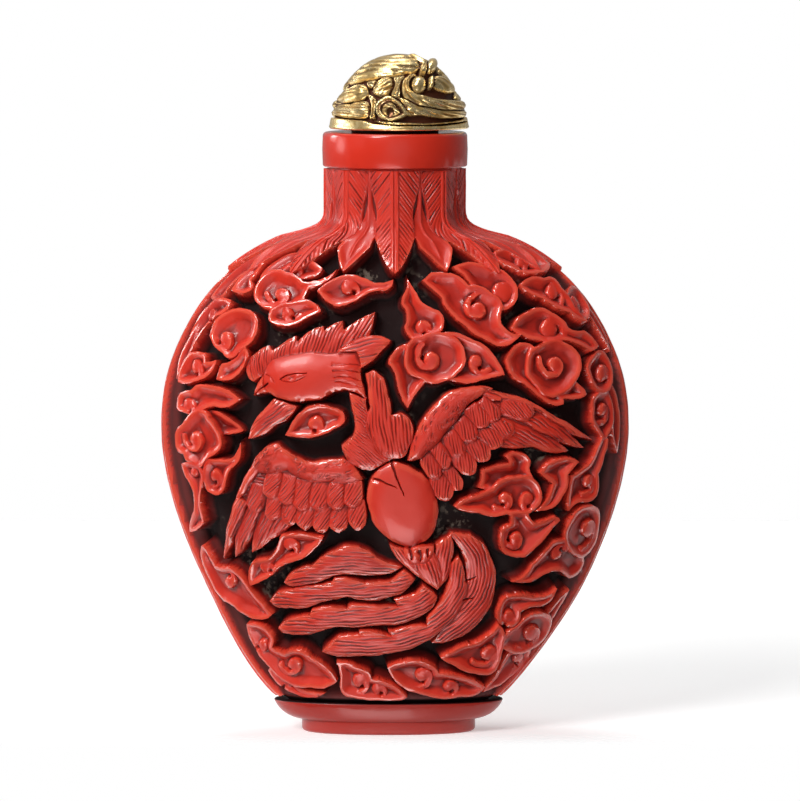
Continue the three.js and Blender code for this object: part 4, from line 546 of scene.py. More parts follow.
CLOUDS: list[Cloud] = [
    Cloud("high left leaf", -0.5, [
        (-14.3, 46, 0.1), (-11.9, 48.1, 0.15), (-8.9, 48.4, 0.2), (-9.3, 47.6, 0), (-12.6, 46.2, -0.08),
    ], []),
    Cloud("shoulder leaf left", -0.45, [
        (-21.2, 43.9, 0.12), (-14.6, 48.6, 0.1), (-16, 46.4, -0.1), (-18.2, 44.4, 0.2),
    ], []),
    Cloud("wedge left", -0.2, [
        (-17.4, 44.5, 0.05), (-16.2, 46.2, -0.05), (-14.1, 48.2, 0.15), (-13.3, 48, 0.05),
        (-14.8, 45.7, 0.1), (-14.7, 44.7, 0.15),
    ], []),
    Cloud("small lobe behind", -0.3, [
        (-11.7, 46.5, 0.3), (-7.2, 46.9, 0.15), (-8.7, 45.9, 0.15),
    ], [(-9.7, 46.8, 0.42, -90, -200)]),
    Cloud("left edge leaf high", -0.3, [
        (-23.8, 37.7, 0.1), (-20, 43.5, 0.12), (-17, 43.7, 0.15), (-18.9, 41.9, -0.05), (-22, 38.3, 0.1),
    ], [(-19.9, 42.2, 0.5, 60, -160)]),
    Cloud("twin cloud left", 0, [
        (-12.9, 42.8, 0.25), (-14.3, 45, 0.25), (-10.8, 46.4, 0.15), (-9.1, 45.5, -0.1),
        (-5.4, 47.15, 0.12), (-8.5, 44.8, -0.05), (-8.9, 43.7, 0.1),
    ], [(-11.4, 44.3, 0.65, 20, -200)]),
    Cloud("twin cloud left lower", 0, [
        (-12.5, 42.9, 0.05), (-8.7, 43.8, 0.14), (-7.2, 42.5, -0.05), (-9.3, 41.6, 0.08),
        (-11.7, 41.1, 0.3),
    ], [(-10.6, 42.5, 0.5, 150, 200)]),
    Cloud("bean cloud", 0, [
        (-7.75, 44.7, 0.2), (-2, 45.5, -0.1), (-0.2, 45.9, 0.25), (-1, 44.6, -0.06), (-3.3, 44, 0.28),
    ], [(-4.75, 45.05, 0.6, 90, -150)]),
    Cloud("left edge leaf", -0.45, [
        (-24.6, 35.4, 0.15), (-22.8, 40.2, 0.1), (-21.6, 41.4, 0.1), (-22.6, 37.8, 0.05),
    ], []),
    Cloud("hook under the round cloud", -0.1, [
        (-18.3, 35.8, 0.1), (-17.6, 37.4, -0.1), (-15.1, 39.3, 0.2), (-15.2, 36.9, 0.2),
    ], []),
    Cloud("round cloud left", 0, [
        (-19.3, 40, 0.12), (-18, 42.1, 0.15), (-14.5, 42.6, 0.2), (-13.7, 40.6, 0.1), (-14.9, 39.1, 0),
        (-16.1, 38.1, 0.25), (-17.6, 38.4, 0.1),
    ], [(-17.4, 39.85, 0.68, 30, -230)]),
    Cloud("edge cloud with horn", -0.15, [
        (-23.6, 35.2, 0.15), (-23, 37.2, 0.2), (-19.8, 38.4, 0.1), (-19.5, 37.6, -0.05),
        (-18.1, 37.8, 0.15), (-20.5, 35.5, 0.05),
    ], [(-21.1, 37, 0.6, 90, -200)]),
    Cloud("shadow leaf", -0.7, [
        (-19.9, 32.9, 0.1), (-15.3, 30.8, 0.1), (-18.6, 30.4, 0),
    ], []),
    Cloud("slug cloud", -0.05, [
        (-23.5, 32.8, 0.25), (-21.4, 34.7, -0.02), (-20.7, 35.2, 0.12), (-15.4, 33.9, 0.12),
        (-18.4, 33, -0.06), (-20.2, 32.5, 0.1), (-22.6, 32.3, 0.1),
    ], [(-21.9, 33.1, 0.62, 90, -180)]),
    Cloud("great round cloud left", 0, [
        (-23.6, 28.9, 0.2), (-22.6, 31.2, 0.05), (-20.5, 32.8, 0.2), (-18.9, 32, 0.08),
        (-17.5, 29.9, 0.2), (-18.9, 28, 0), (-19.4, 27.5, 0.25), (-21.6, 27.2, 0.15),
        (-22.4, 28.1, 0.15),
    ], [(-20.8, 29.8, 0.68, 30, -220)]),
    Cloud("claw cloud", -0.15, [
        (-19.9, 25.6, 0.15), (-19.2, 27.9, -0.02), (-16.9, 28, -0.12), (-15.5, 29.95, 0.15),
        (-16.2, 27.2, -0.1), (-17.2, 25.4, 0.2), (-18.4, 24.2, 0.2),
    ], [(-18.6, 26.2, 0.55, 60, -180)]),
    Cloud("left stem", -0.15, [
        (-22.9, 27.2, 0.1), (-20.2, 27.2, 0.1), (-19.8, 25.6, -0.08), (-20.2, 22, 0.05),
        (-20.1, 21.2, 0.1), (-22.9, 20.2, 0.1), (-21.5, 22.5, -0.12), (-22.1, 25.6, 0.12),
    ], [(-21.2, 26.4, 0.5, 0, 0)]),
    Cloud("long leaf low left", -0.1, [
        (-21.5, 17.6, 0.1), (-20.9, 19.1, 0.12), (-19.1, 17, -0.05), (-17.3, 17.1, 0.1), (-14.9, 15, 0),
        (-12.2, 12.3, 0.15), (-13.6, 11.7, 0.1), (-16.9, 12.8, -0.02), (-18.6, 13.2, 0.12),
    ], [(-17.6, 15.3, 0.55, -40, 150)]),
    Cloud("cloud under the wing", 0, [
        (-11.9, 19.3, 0), (-11.4, 20.7, 0.03), (-7, 20.5, 0.1), (-9.6, 18, -0.04), (-11.6, 17, 0.08),
        (-14.9, 15.2, 0.1), (-14.5, 17.7, 0.05), (-12.8, 18.2, -0.08),
    ], [(-10.6, 19.5, 0.55, 100, -200), (-13.1, 17, 0.5, 130, -200)]),
    Cloud("foot leaf left", -0.3, [
        (-13.1, 6.2, 0.3), (-11, 6.3, 0), (-9.2, 4.6, -0.08), (-6.2, 4.2, 0.15), (-9.4, 3.7, 0.12),
    ], [(-11.6, 5.1, 0.55, 90, -180)]),
    Cloud("low cloud left", 0, [
        (-15.4, 11.3, 0.15), (-12.3, 10.3, 0.2), (-12.1, 9, -0.05), (-10.9, 8.4, 0.22), (-7.8, 8, 0.1),
        (-5.1, 5.5, 0.12), (-7.8, 4.8, 0.1), (-10.2, 5.1, 0.05), (-13.4, 7.5, 0.08),
    ], [(-9.8, 7.2, 0.6, 60, -230), (-13.5, 9.1, 0.5, 0, -180)]),
    Cloud("foot cloud middle", 0, [
        (-5.4, 7.65, 0.08), (-2.1, 6.6, 0.1), (-1.7, 5.9, 0.12), (1.95, 3.95, 0.12), (-1, 3.6, 0.03),
        (-4.2, 3.9, 0.2), (-4.9, 5.6, -0.08),
    ], [(-3, 5.6, 0.6, 100, -200), (-1.1, 4.7, 0.5, 90, -180)]),
    Cloud("foot cloud right", 0, [
        (-0.25, 7.1, 0.15), (4.3, 7.3, 0.15), (4.9, 6.5, 0.08), (10, 4.8, 0.15), (7.2, 3.8, 0.05),
        (4, 3.9, 0), (1.9, 4.6, 0.1),
    ], [(3.3, 6.2, 0.65, 80, -200), (6.1, 4.9, 0.5, 80, -180)]),
    Cloud("foot leaf right", -0.3, [
        (9.7, 4, -0.05), (12.2, 8.2, 0.1), (15.4, 8.4, 0.3), (14.8, 6.4, 0.05), (12.4, 4.8, 0.05),
    ], [(13.9, 7.3, 0.5, 60, -160)]),
    Cloud("thin leaf right", -0.25, [
        (15.6, 11.3, 0.05), (19.2, 14.6, 0.08), (18.3, 12.6, -0.05), (17.2, 10.2, 0.1),
    ], []),
    Cloud("round cloud low right", 0, [
        (10.8, 9.2, 0.1), (12.6, 11.2, 0.12), (15, 12.5, 0.15), (17.2, 11.4, 0.2), (16.6, 9.2, 0.1),
        (13.4, 8.1, 0.1),
    ], [(14.8, 10.1, 0.85, 60, -200)]),
    Cloud("curl with horn", 0, [
        (12.3, 11, 0.35), (10.6, 13.6, 0.15), (12.2, 14.5, 0.05), (14.4, 14.1, -0.08),
        (17.1, 14.9, 0.15), (15, 12.9, -0.1), (13, 12.6, 0.15),
    ], [(11.6, 12, 0.55, 90, -250)]),
    Cloud("low cloud right", 0, [
        (4.95, 8.1, 0.05), (7.6, 9.4, -0.1), (10.7, 11.5, 0.2), (11.5, 9.6, 0), (11.4, 7.6, 0.25),
        (8.9, 6.1, 0.05),
    ], [(10, 8.3, 0.7, 60, -210)]),
    Cloud("wave leaf right", -0.25, [
        (11.3, 15.8, -0.2), (13.9, 17.4, -0.05), (16, 19.6, 0.05), (17.8, 19.8, 0.1), (20.6, 17.9, 0.2),
        (20.4, 16.1, 0.1), (18.6, 15.6, -0.15), (15, 16.1, 0.15),
    ], [(17, 18.2, 0.45, 200, -180)]),
    Cloud("ring cloud right", -0.2, [
        (17.6, 19.6, 0.15), (18.3, 22, 0.15), (20.9, 23.2, 0.2), (22.6, 20.6, 0.25), (20.4, 17.7, 0.2),
    ], [(20.9, 20.5, 0.85, 120, -230)]),
    Cloud("tall tail right", -0.2, [
        (17.9, 22.4, 0.1), (18.1, 26.3, 0), (20.2, 27.4, -0.05), (21.8, 30.3, 0.3), (22.8, 29.6, 0.05),
        (21.5, 26.2, 0.12), (21.5, 23.9, 0.1), (19.2, 23.4, -0.1),
    ], [(20.3, 25.4, 0.55, 100, -220)]),
    Cloud("flower cloud right wing", -0.25, [
        (8.1, 25.2, -0.1), (8.5, 27.1, 0.05), (11.4, 27.7, -0.05), (10.9, 28.3, 0.2), (12.6, 28.8, 0.25),
        (13.6, 27.2, -0.1), (14.4, 25.8, 0.1), (12, 24.2, 0),
    ], []),
    Cloud("flower cloud right", 0, [
        (5.8, 23.5, 0.05), (7.6, 24.6, -0.02), (9.6, 25.2, 0.15), (12.2, 26.5, 0.15), (14.6, 25.4, 0.25),
        (13.8, 22.8, 0.15), (11, 22.5, 0.1), (8.4, 22.7, 0.1),
    ], [(10.95, 24.1, 0.55, 60, -200), (13.4, 24, 0.55, 120, 200)]),
    Cloud("flame right of the flower", 0, [
        (13.9, 22.8, 0.15), (16.9, 23.9, 0.1), (17.7, 26.3, -0.03), (18.9, 27.6, 0.12),
        (16.4, 28.1, 0.1), (14.4, 26.6, 0), (15.9, 25.4, -0.1),
    ], []),
    Cloud("spiral cloud right", 0, [
        (11.3, 22.9, 0), (13.4, 23, -0.1), (14, 21.7, -0.05), (16.2, 22.4, 0.15), (16.9, 21.8, 0),
        (14.9, 19.8, 0.05), (13, 18.2, 0.35), (10.4, 20.9, 0.1), (11.5, 21.7, 0),
    ], [(12.1, 20, 0.55, 60, -300)]),
    Cloud("right edge leaf", -0.4, [
        (22.4, 36, 0.1), (25, 33.6, 0.1), (24.8, 27.9, 0.1), (23.4, 32.4, 0),
    ], []),
    Cloud("right edge cloud low", -0.3, [
        (20.6, 31.4, 0.05), (20.5, 33.6, 0.2), (23, 34.4, 0.15), (23.7, 31, 0.1), (22.2, 29.6, 0.05),
    ], [(22.2, 32.6, 0.6, 60, -180)]),
    Cloud("right edge cloud", -0.15, [
        (20, 36.2, 0.2), (20.9, 38.1, 0.25), (23.2, 37.9, 0.2), (23.7, 35.2, 0.2), (21.4, 34.4, 0.1),
    ], [(22.2, 36.2, 0.7, 120, -200)]),
    Cloud("right edge leaf high", -0.35, [
        (21, 43.4, 0.1), (24.9, 39.6, 0.1), (24.6, 38.2, 0), (21.8, 41.6, 0.1),
    ], []),
    Cloud("shoulder curl right", -0.2, [
        (17.9, 42.8, 0.25), (19.6, 44.9, 0.3), (22, 42.6, 0.2), (20.2, 41.6, 0.1),
    ], [(19.3, 43.4, 0.6, 60, -200)]),
    Cloud("shoulder cloud right", -0.15, [
        (12.4, 45, 0.15), (15.5, 45.9, 0.2), (17.8, 44.8, 0.1), (19.2, 42.9, -0.05), (21.2, 41.3, 0.1),
        (18.2, 42.3, 0.05), (15, 43.8, 0.05),
    ], [(16.6, 44.5, 0.7, 120, -180)]),
    Cloud("shoulder cloud high right", -0.1, [
        (9.6, 48, 0.12), (12.6, 48.8, 0.2), (17.7, 47, 0.05), (15.2, 46.2, 0.12), (12.6, 46.6, 0.05),
    ], [(13.2, 47.6, 0.58, 60, -200)]),
    Cloud("cloud with arrow tail", -0.1, [
        (11.5, 41, 0.12), (13.2, 42.6, 0.15), (16, 42.5, 0.1), (17.9, 40.9, -0.05), (19.9, 40.6, 0.05),
        (21.9, 38.9, 0.12), (20.4, 38.4, -0.05), (17.6, 39.6, 0.05), (14.4, 39.7, 0.1),
    ], [(15.8, 40.9, 0.9, 120, -160)]),
    Cloud("rose cloud right back", -0.1, [
        (13.6, 39.5, 0.25), (11, 37.9, 0.15), (12.8, 35.4, 0), (15.3, 33.5, 0.1), (17.2, 33.4, 0.2),
        (16.3, 34.8, 0.1),
    ], []),
    Cloud("rose cloud right thorn", -0.1, [
        (16.6, 34, 0.05), (18.3, 35.9, 0.05), (19.9, 34.2, 0.1),
    ], []),
    Cloud("rose cloud right", 0, [
        (14, 35.3, 0.15), (13.1, 37.6, 0.2), (14.2, 39.2, 0.15), (17.2, 39.5, 0.15), (19.2, 37.6, 0.15),
        (18.4, 35.5, 0), (17.6, 34.7, 0.25),
    ], [(16.25, 37.4, 0.7, 60, -260)]),
    Cloud("heart cloud right back", -0.1, [
        (5.6, 47.1, 0.12), (9.6, 46.9, 0.15), (12.3, 45.2, 0.25), (10.9, 42.6, 0.1), (8, 44, -0.1),
    ], [(10.9, 44.6, 1, 0, 0)]),
    Cloud("heart cloud right", 0, [
        (2.5, 45.6, 0), (3.5, 46.45, 0.05), (5.8, 46.4, 0.05), (7.3, 45.3, 0.1), (9.7, 44.4, 0.15),
        (10.8, 43, -0.1), (10.7, 41.4, -0.1), (12.7, 40.3, 0.1), (11.2, 39.3, 0.15), (9.2, 39.6, 0.05),
        (5.2, 42.7, 0.1), (4.6, 43.9, -0.05),
    ], [(8.3, 42.9, 0.7, -30, -260)]),
    Cloud("flame cloud", -0.05, [
        (1.2, 46.4, -0.05), (2.2, 44.4, -0.12), (4.3, 42.8, 0.2), (4.8, 40.9, 0.1), (1.7, 39.9, 0.12),
        (0.8, 41.3, -0.12), (1, 42.9, 0.18), (0.7, 44.3, -0.1),
    ], [(2.6, 41.1, 0.58, 100, -200)]),
    Cloud("rose cloud left horn", -0.1, [
        (-0.7, 37.6, 0.3), (2.4, 39.3, 0), (3.2, 35.9, -0.05), (1.3, 33.1, 0.05), (0.1, 35.4, -0.1),
    ], []),
    Cloud("rose cloud left tail", -0.1, [
        (4.6, 40.7, 0.08), (7.6, 40.1, 0.12), (11, 36.3, 0), (8.6, 35.9, 0.1), (5, 36, 0),
    ], [(8, 37.8, 0.65, -150, 120)]),
    Cloud("rose cloud left", 0, [
        (1.3, 36.7, 0.15), (1, 38.8, 0.2), (2.6, 40.3, 0.15), (5.4, 40.4, 0.2), (7, 38.2, 0.15),
        (6.3, 36.6, 0.1), (4.8, 35.8, 0.15), (2.6, 36, 0.05),
    ], [(3.6, 38.05, 0.7, 20, -260)]),
    Cloud("cloud under the chin", 0, [
        (-10.95, 30.5, 0.08), (-8.7, 33.4, 0.1), (-5, 33, 0.25), (-5.7, 31.2, 0.05), (-7.4, 30.5, 0.1),
    ], [(-8, 31.7, 0.62, 60, -180)]),
]

FEATHERS: list[Feather] = [
    Feather("wattle", -0.25, 0.25, Cut.COMB, (-10.6, 34.2, -12.8, 32.6, -14.8, 30), [
        (-12.1, 34.1, 0), (-9.6, 33.4, 0.1), (-11.8, 31.4, 0.1), (-14.85, 30, 0.05), (-14.3, 31.8, 0.05),
        (-13.3, 33, 0.05),
    ]),
    Feather("crest", -0.3, 0.2, Cut.SLANT, (-15, 35.8, -12.4, 39, -2, 42.6), [
        (-15.05, 36.5, 0.15), (-14.6, 38.2, 0.1), (-12.6, 39.35, 0.05), (-12.3, 38.9, 0.05),
        (-9.8, 40.4, 0), (-9.7, 39.8, 0.08), (-7, 41.4, 0), (-7, 41, 0.06), (-5.2, 42, 0),
        (-5.1, 41, 0.03), (-1.95, 42.85, 0.05), (-2.5, 40.2, 0), (-5.8, 38.6, 0), (-12, 37.9, 0),
        (-13.3, 36.4, 0), (-14.3, 35.7, 0.15),
    ]),
    Feather("right primary 1", -0.2, 0.3, Cut.COMB, (7.8, 34.6, 14, 34.4, 21.2, 29.5), [
        (8.6, 35.2, 0.02), (11.9, 34.5, 0.04), (15.4, 32.8, 0.02), (21.2, 29.4, 0.02),
        (17.6, 30.6, 0.05), (9, 33, 0),
    ]),
    Feather("right primary 2", -0.3, 0.3, Cut.COMB, (8, 33.4, 14, 33.2, 19.9, 28.9), [
        (9, 33.8, 0.08), (15, 32.4, 0.04), (19.9, 28.9, 0.05), (17, 29.5, 0.06), (10, 31, 0),
    ]),
    Feather("right primary 3", -0.35, 0.3, Cut.COMB, (8, 32, 13, 31.6, 18.1, 28.6), [
        (9, 32.4, 0.1), (14, 31, 0.04), (18.1, 28.6, 0.08), (14, 29.1, 0.02), (10.4, 29.2, 0),
    ]),
    Feather("left primary 1", -0.2, 0.3, Cut.COMB, (-14.6, 26.6, -16.8, 22.4, -18.1, 17.4), [
        (-14, 26.8, 0), (-15.9, 24.8, 0.03), (-17.3, 21.6, 0.03), (-18.15, 17.3, 0.02),
        (-16.7, 19.8, 0.04), (-14.9, 23.6, 0),
    ]),
    Feather("left primary 2", -0.3, 0.3, Cut.COMB, (-13.8, 25, -15.8, 21.6, -16.7, 17.9), [
        (-14.2, 24.6, 0), (-16.2, 21, 0.05), (-16.8, 17.8, 0.08), (-14.4, 20.4, 0.08), (-12.9, 23.4, 0),
    ]),
    Feather("left primary 3", -0.35, 0.3, Cut.COMB, (-12.4, 24.4, -13.8, 21, -14.8, 18.4), [
        (-13.4, 23.4, 0.04), (-14.9, 18.3, 0.05), (-12.6, 19.8, 0.06), (-10.2, 21.6, 0),
        (-10.6, 23.4, 0),
    ]),
    Feather("left wing bed", -0.6, 0.1, Cut.COMB, (-14.8, 26, -10, 25.6, -4.4, 24), [
        (-15.7, 24, 0), (-14.3, 26.8, 0), (-10.7, 27.4, 0), (-4.4, 26.6, 0), (-3, 24.4, 0),
        (-4.5, 22.4, 0), (-13, 22.6, 0),
    ]),
    Feather("right wing bed", -0.6, 0.1, Cut.COMB, (3, 28, 6, 31, 9.6, 33), [
        (2.4, 27.8, 0), (4.6, 31.6, 0), (8.6, 34.2, 0), (10.4, 33, 0), (8, 29, 0), (5.2, 26.4, 0),
    ]),
    Feather("left shoulder band", -0.05, 0.4, Cut.FLECK, (-3.4, 26.8, -9.4, 27.8, -16.2, 23.6), [
        (-3, 26.2, 0), (-4.3, 27.8, 0.02), (-5.2, 28.35, 0), (-8.2, 27.9, -0.06), (-11.8, 29.75, 0.15),
        (-14.5, 27.3, 0.04), (-16.4, 23.9, 0), (-15.5, 24.2, -0.02), (-13.8, 26.7, 0.1),
        (-10.7, 26.95, 0.05), (-8.3, 25.75, -0.06), (-5.4, 25.6, 0.04),
    ]),
    Feather("right shoulder band", 0, 0.4, Cut.FLECK, (1.4, 28.2, 3.6, 32.6, 9.6, 35), [
        (1.15, 27.95, 0.02), (2.4, 31.8, 0.04), (5, 34.7, 0.08), (8.9, 35.4, 0.04), (10, 35.1, 0),
        (7.6, 33.8, 0), (5.2, 30.9, 0.02), (2.8, 28.4, 0.08),
    ]),
    Feather("left mane", -0.2, 0.25, Cut.MESH, (-3.9, 34.6, -3.2, 31, -2.6, 27.4), [
        (-4.7, 34.9, 0), (-2.8, 34.2, 0), (-2.5, 30.5, 0), (-0.2, 28.1, 0), (-2.4, 27, 0.12),
        (-4.6, 27.9, 0.1), (-5.35, 29.5, 0), (-4.2, 30.6, -0.08), (-4.3, 33.2, 0),
    ]),
    Feather("right mane", -0.05, 0.3, Cut.COMB, (-2.3, 37, -1.6, 33, 0, 28.4), [
        (-2.95, 36.7, 0), (-2.1, 37.1, 0.12), (-0.6, 34.6, 0.08), (-0.4, 32.6, -0.08), (0.5, 32.85, 0.2),
        (1.8, 31.2, 0.12), (1.4, 29.2, 0.2), (-0.2, 28.1, 0.15), (-2.3, 29.9, 0.15), (-2.5, 33.4, 0),
    ]),
    Feather("plume 5", -0.25, 0.25, Cut.COMB, (6, 20.4, 11.6, 15.6, 4.6, 10), [
        (5.3, 20.8, 0.02), (7.6, 20.6, 0.08), (9.6, 18.6, 0.06), (10.25, 15.6, 0.06), (9.4, 12.3, 0.08),
        (7, 9.95, 0.08), (3.9, 9.4, 0), (5.4, 11.6, 0), (7.2, 15.6, -0.04), (6.6, 18.8, 0),
    ]),
    Feather("plume 1", -0.3, 0.25, Cut.COMB, (0.6, 17.4, -4.6, 17.4, -11.4, 15.4), [
        (0.9, 17.3, 0.1), (-2.6, 16.35, -0.04), (-6.3, 16.2, 0.03), (-9.6, 15.15, 0.12),
        (-11.45, 15.55, 0.1), (-8.9, 17.4, 0), (-8.4, 17.3, 0.06), (-5.2, 19.4, 0.12),
        (-1.8, 18.4, -0.05),
    ]),
    Feather("plume 2", -0.2, 0.25, Cut.COMB, (1.6, 16.6, -3.4, 14.6, -13, 13.6), [
        (2.1, 16, 0.1), (-0.5, 14.1, 0.08), (-4.8, 14.15, -0.03), (-8.6, 13.05, 0.04),
        (-10.6, 12.85, 0.15), (-12.95, 13.65, 0.1), (-10.4, 15, 0), (-6.4, 15.7, 0), (-6.2, 16.1, 0.08),
        (-3, 15.7, 0), (-0.6, 15.9, 0), (0.9, 17.1, 0.05),
    ]),
    Feather("plume 3", -0.12, 0.25, Cut.COMB, (3.4, 15.2, 1.4, 11.6, -11.8, 10.8), [
        (4.3, 14.2, 0.12), (3, 12.4, 0.08), (-0.95, 11.3, 0.02), (-4.9, 11.1, -0.04), (-8.4, 10.2, 0.06),
        (-10.4, 10.25, 0.12), (-11.75, 10.85, 0.1), (-10.5, 12, 0), (-8.5, 12.4, 0), (-8.4, 12.9, 0.06),
        (-4.7, 13.1, 0), (-4.6, 13.45, 0.02), (0.4, 13.25, 0), (-0.1, 13.95, 0.05), (2, 14.6, 0),
        (2.8, 15.5, 0.1),
    ]),
    Feather("plume 4", 0, 0.25, Cut.COMB, (6.2, 18.4, 7.4, 8.6, -7, 8.9), [
        (-6.95, 8.5, 0.06), (-2.6, 8.15, 0.04), (1.9, 8.9, 0.06), (5, 10.9, 0.08), (7, 13.95, 0.08),
        (7.1, 16.2, 0.05), (6.3, 18.5, 0.05), (5.4, 17.4, -0.04), (4.9, 14.4, 0), (3.3, 12, 0),
        (3.4, 11.4, 0.04), (0.1, 10.9, 0), (-0.5, 10.95, 0), (-0.1, 10.3, 0.05), (-3.4, 10.85, 0),
        (-3.2, 10.5, 0.04), (-5.2, 10.2, 0.1),
    ]),
    Feather("side sepal left", -0.2, 0.2, Cut.COMB, (-0.2, 19.6, 1.6, 17.4, 4.2, 15.2), [
        (-0.7, 19.7, 0), (1, 19.2, 0), (3, 16.3, 0), (4.2, 15.1, 0.05), (1.2, 17.2, 0.1),
    ]),
    Feather("side sepal right", -0.15, 0.2, Cut.COMB, (5, 20.2, 5.4, 17.6, 4.5, 15.2), [
        (4, 19.8, 0), (5.6, 20.6, 0.1), (5.7, 18.2, 0.1), (4.5, 15.1, 0.05), (4.3, 17.4, 0.05),
    ]),
    Feather("sepal", -0.02, 0.2, Cut.COMB, (2.3, 19.2, 3.2, 17, 4.35, 15), [
        (0.9, 19.3, 0), (3.9, 18.9, 0.08), (4.6, 16.8, 0.1), (4.35, 14.95, 0.05), (2.4, 16.6, 0.1),
    ]),
    Feather("ruffle", 0.05, 0.15, Cut.PLAIN, (1, 18.4, 2.4, 17.8, 3.8, 19), [
        (1, 19.4, 0), (3.9, 19.6, 0.1), (3.5, 18, 0.2), (2.4, 17.8, 0.2), (1.4, 17.9, 0.2),
    ]),
    Feather("ear tuft", 0, 0.2, Cut.COMB, (-5.2, 38.2, -2.6, 39.5, -0.4, 40), [
        (-6, 38.5, 0.05), (-3.6, 40.15, 0.1), (-0.35, 40, 0.05), (-1.8, 38.2, 0.05), (-3.6, 36.9, 0),
    ]),
    Feather("beak", -0.2, 0.25, Cut.PLAIN, (-12.8, 36, -13.6, 35.2, -14.2, 34.4), [
        (-13, 36.8, 0.08), (-14.3, 34.35, 0), (-12.4, 34.6, 0),
    ]),
    Feather("head", 0, 0.45, Cut.PLAIN, (-13, 36.2, -8, 36.6, -3, 35.4), [
        (-13.2, 36.3, 0.2), (-11.6, 38.15, 0.05), (-7, 38.65, 0), (-3.8, 38.75, 0.02), (-3.3, 37, -0.05),
        (-2.65, 33.95, -0.1), (-5, 34.95, -0.05), (-7.5, 34, 0.06), (-11.4, 34.05, 0.1),
        (-12.8, 34.8, 0.12),
    ]),
    Feather("body", 0, 0.5, Cut.PLAIN, (0.1, 27.6, 0.8, 23.6, 1.6, 19.4), [
        (-0.2, 27.95, 0.2), (4.35, 23, 0.2), (1.6, 19.25, 0.2), (-2.8, 24.3, 0.2),
    ]),
]

FIRST_OVER_COVERTS = "left shoulder band"

COVERTS: list[Covert] = [
    Covert(*placing)
    for placing in (
        (14, 32.6, -12, 3.6, 1.9), (11.9, 30.6, -25, 3, 1.9), (10.6, 29.3, -35, 3, 1.9),
        (9.4, 28, -42, 3, 1.9), (7.9, 26.6, -50, 3, 1.9), (6.5, 25, -55, 3, 1.8), (5.4, 24, -60, 3, 1.8),
        (10.3, 31.9, -45, 2.8, 1.8), (9.2, 31.3, -50, 2.8, 1.8), (8, 29.9, -52, 2.8, 1.8),
        (6.7, 28.4, -58, 2.8, 1.8), (5.2, 27.2, -60, 2.8, 1.7), (4.2, 26.2, -62, 2.8, 1.6),
        (-12.4, 21.9, -100, 3.2, 1.8), (-10.7, 21.4, -98, 3.2, 1.8), (-9.1, 20.9, -96, 3.2, 1.8),
        (-7.4, 20.7, -95, 3.2, 1.8), (-5.7, 20.7, -95, 3.2, 1.8), (-3.8, 21, -92, 3.2, 1.8),
        (-14.3, 22.6, -100, 3, 1.8), (-12.5, 24, -98, 3.2, 1.8), (-10.9, 23.4, -98, 3.2, 1.8),
        (-9.3, 22.9, -95, 3.2, 1.8), (-7.7, 22.9, -95, 3.2, 1.8), (-5.9, 23, -94, 3.2, 1.8),
        (-4.2, 23.2, -92, 3.2, 1.9),
    )
]

NICKS: list[Nick] = [
    Nick((-11.4, 36.0, -10.2, 36.75, -8.7, 36.6), 0.07, 0.05, 0.2),
    Nick((-11.3, 35.95, -10.1, 35.45, -8.9, 36.25), 0.06, 0.04, 0.14),
    Nick((-10.35, 36.15, -10.2, 36.2, -10.05, 36.2), 0.2, 0.16, 0.16),
    Nick((-12.7, 35.5, -13.4, 35.0, -14.1, 34.5), 0.1, 0.06, 0.3),
    Nick((-12.9, 36.4, -12.3, 36.2, -12.0, 35.6), 0.08, 0.05, 0.12),
    Nick((-6.2, 37.4, -4.6, 37.7, -3.3, 37.3), 0.1, 0.04, 0.12),
    Nick((-6.1, 36.9, -4.6, 37.0, -3.2, 36.6), 0.12, 0.05, 0.16),
    Nick((-6.0, 36.3, -4.6, 36.3, -3.1, 35.9), 0.1, 0.05, 0.14),
    Nick((-5.9, 35.8, -4.6, 35.6, -3.1, 35.3), 0.1, 0.05, 0.12),
    Nick((-0.25, 27.8, 0.1, 26.4, 0.85, 24.6), 0.16, 0.03, 0.35),
    Nick((-2.7, 26.3, -1.1, 26.0, 0.15, 25.4), 0.16, 0.03, 0.35),
    Nick((1.5, 19.2, 1.7, 18.7, 1.6, 18.2), 0.2, 0.1, 0.4),
    Nick((2.4, 18.9, 2.6, 18.6, 2.5, 18.1), 0.22, 0.1, 0.4),
    Nick((3.2, 19.1, 3.1, 18.8, 3.3, 18.4), 0.18, 0.1, 0.35),
    Nick((7.1, 15.9, 7.6, 16.0, 8.1, 16.3), 0.12, 0.05, 0.3),
    Nick((6.9, 13.9, 7.4, 13.9, 7.9, 14.1), 0.12, 0.05, 0.3),
]


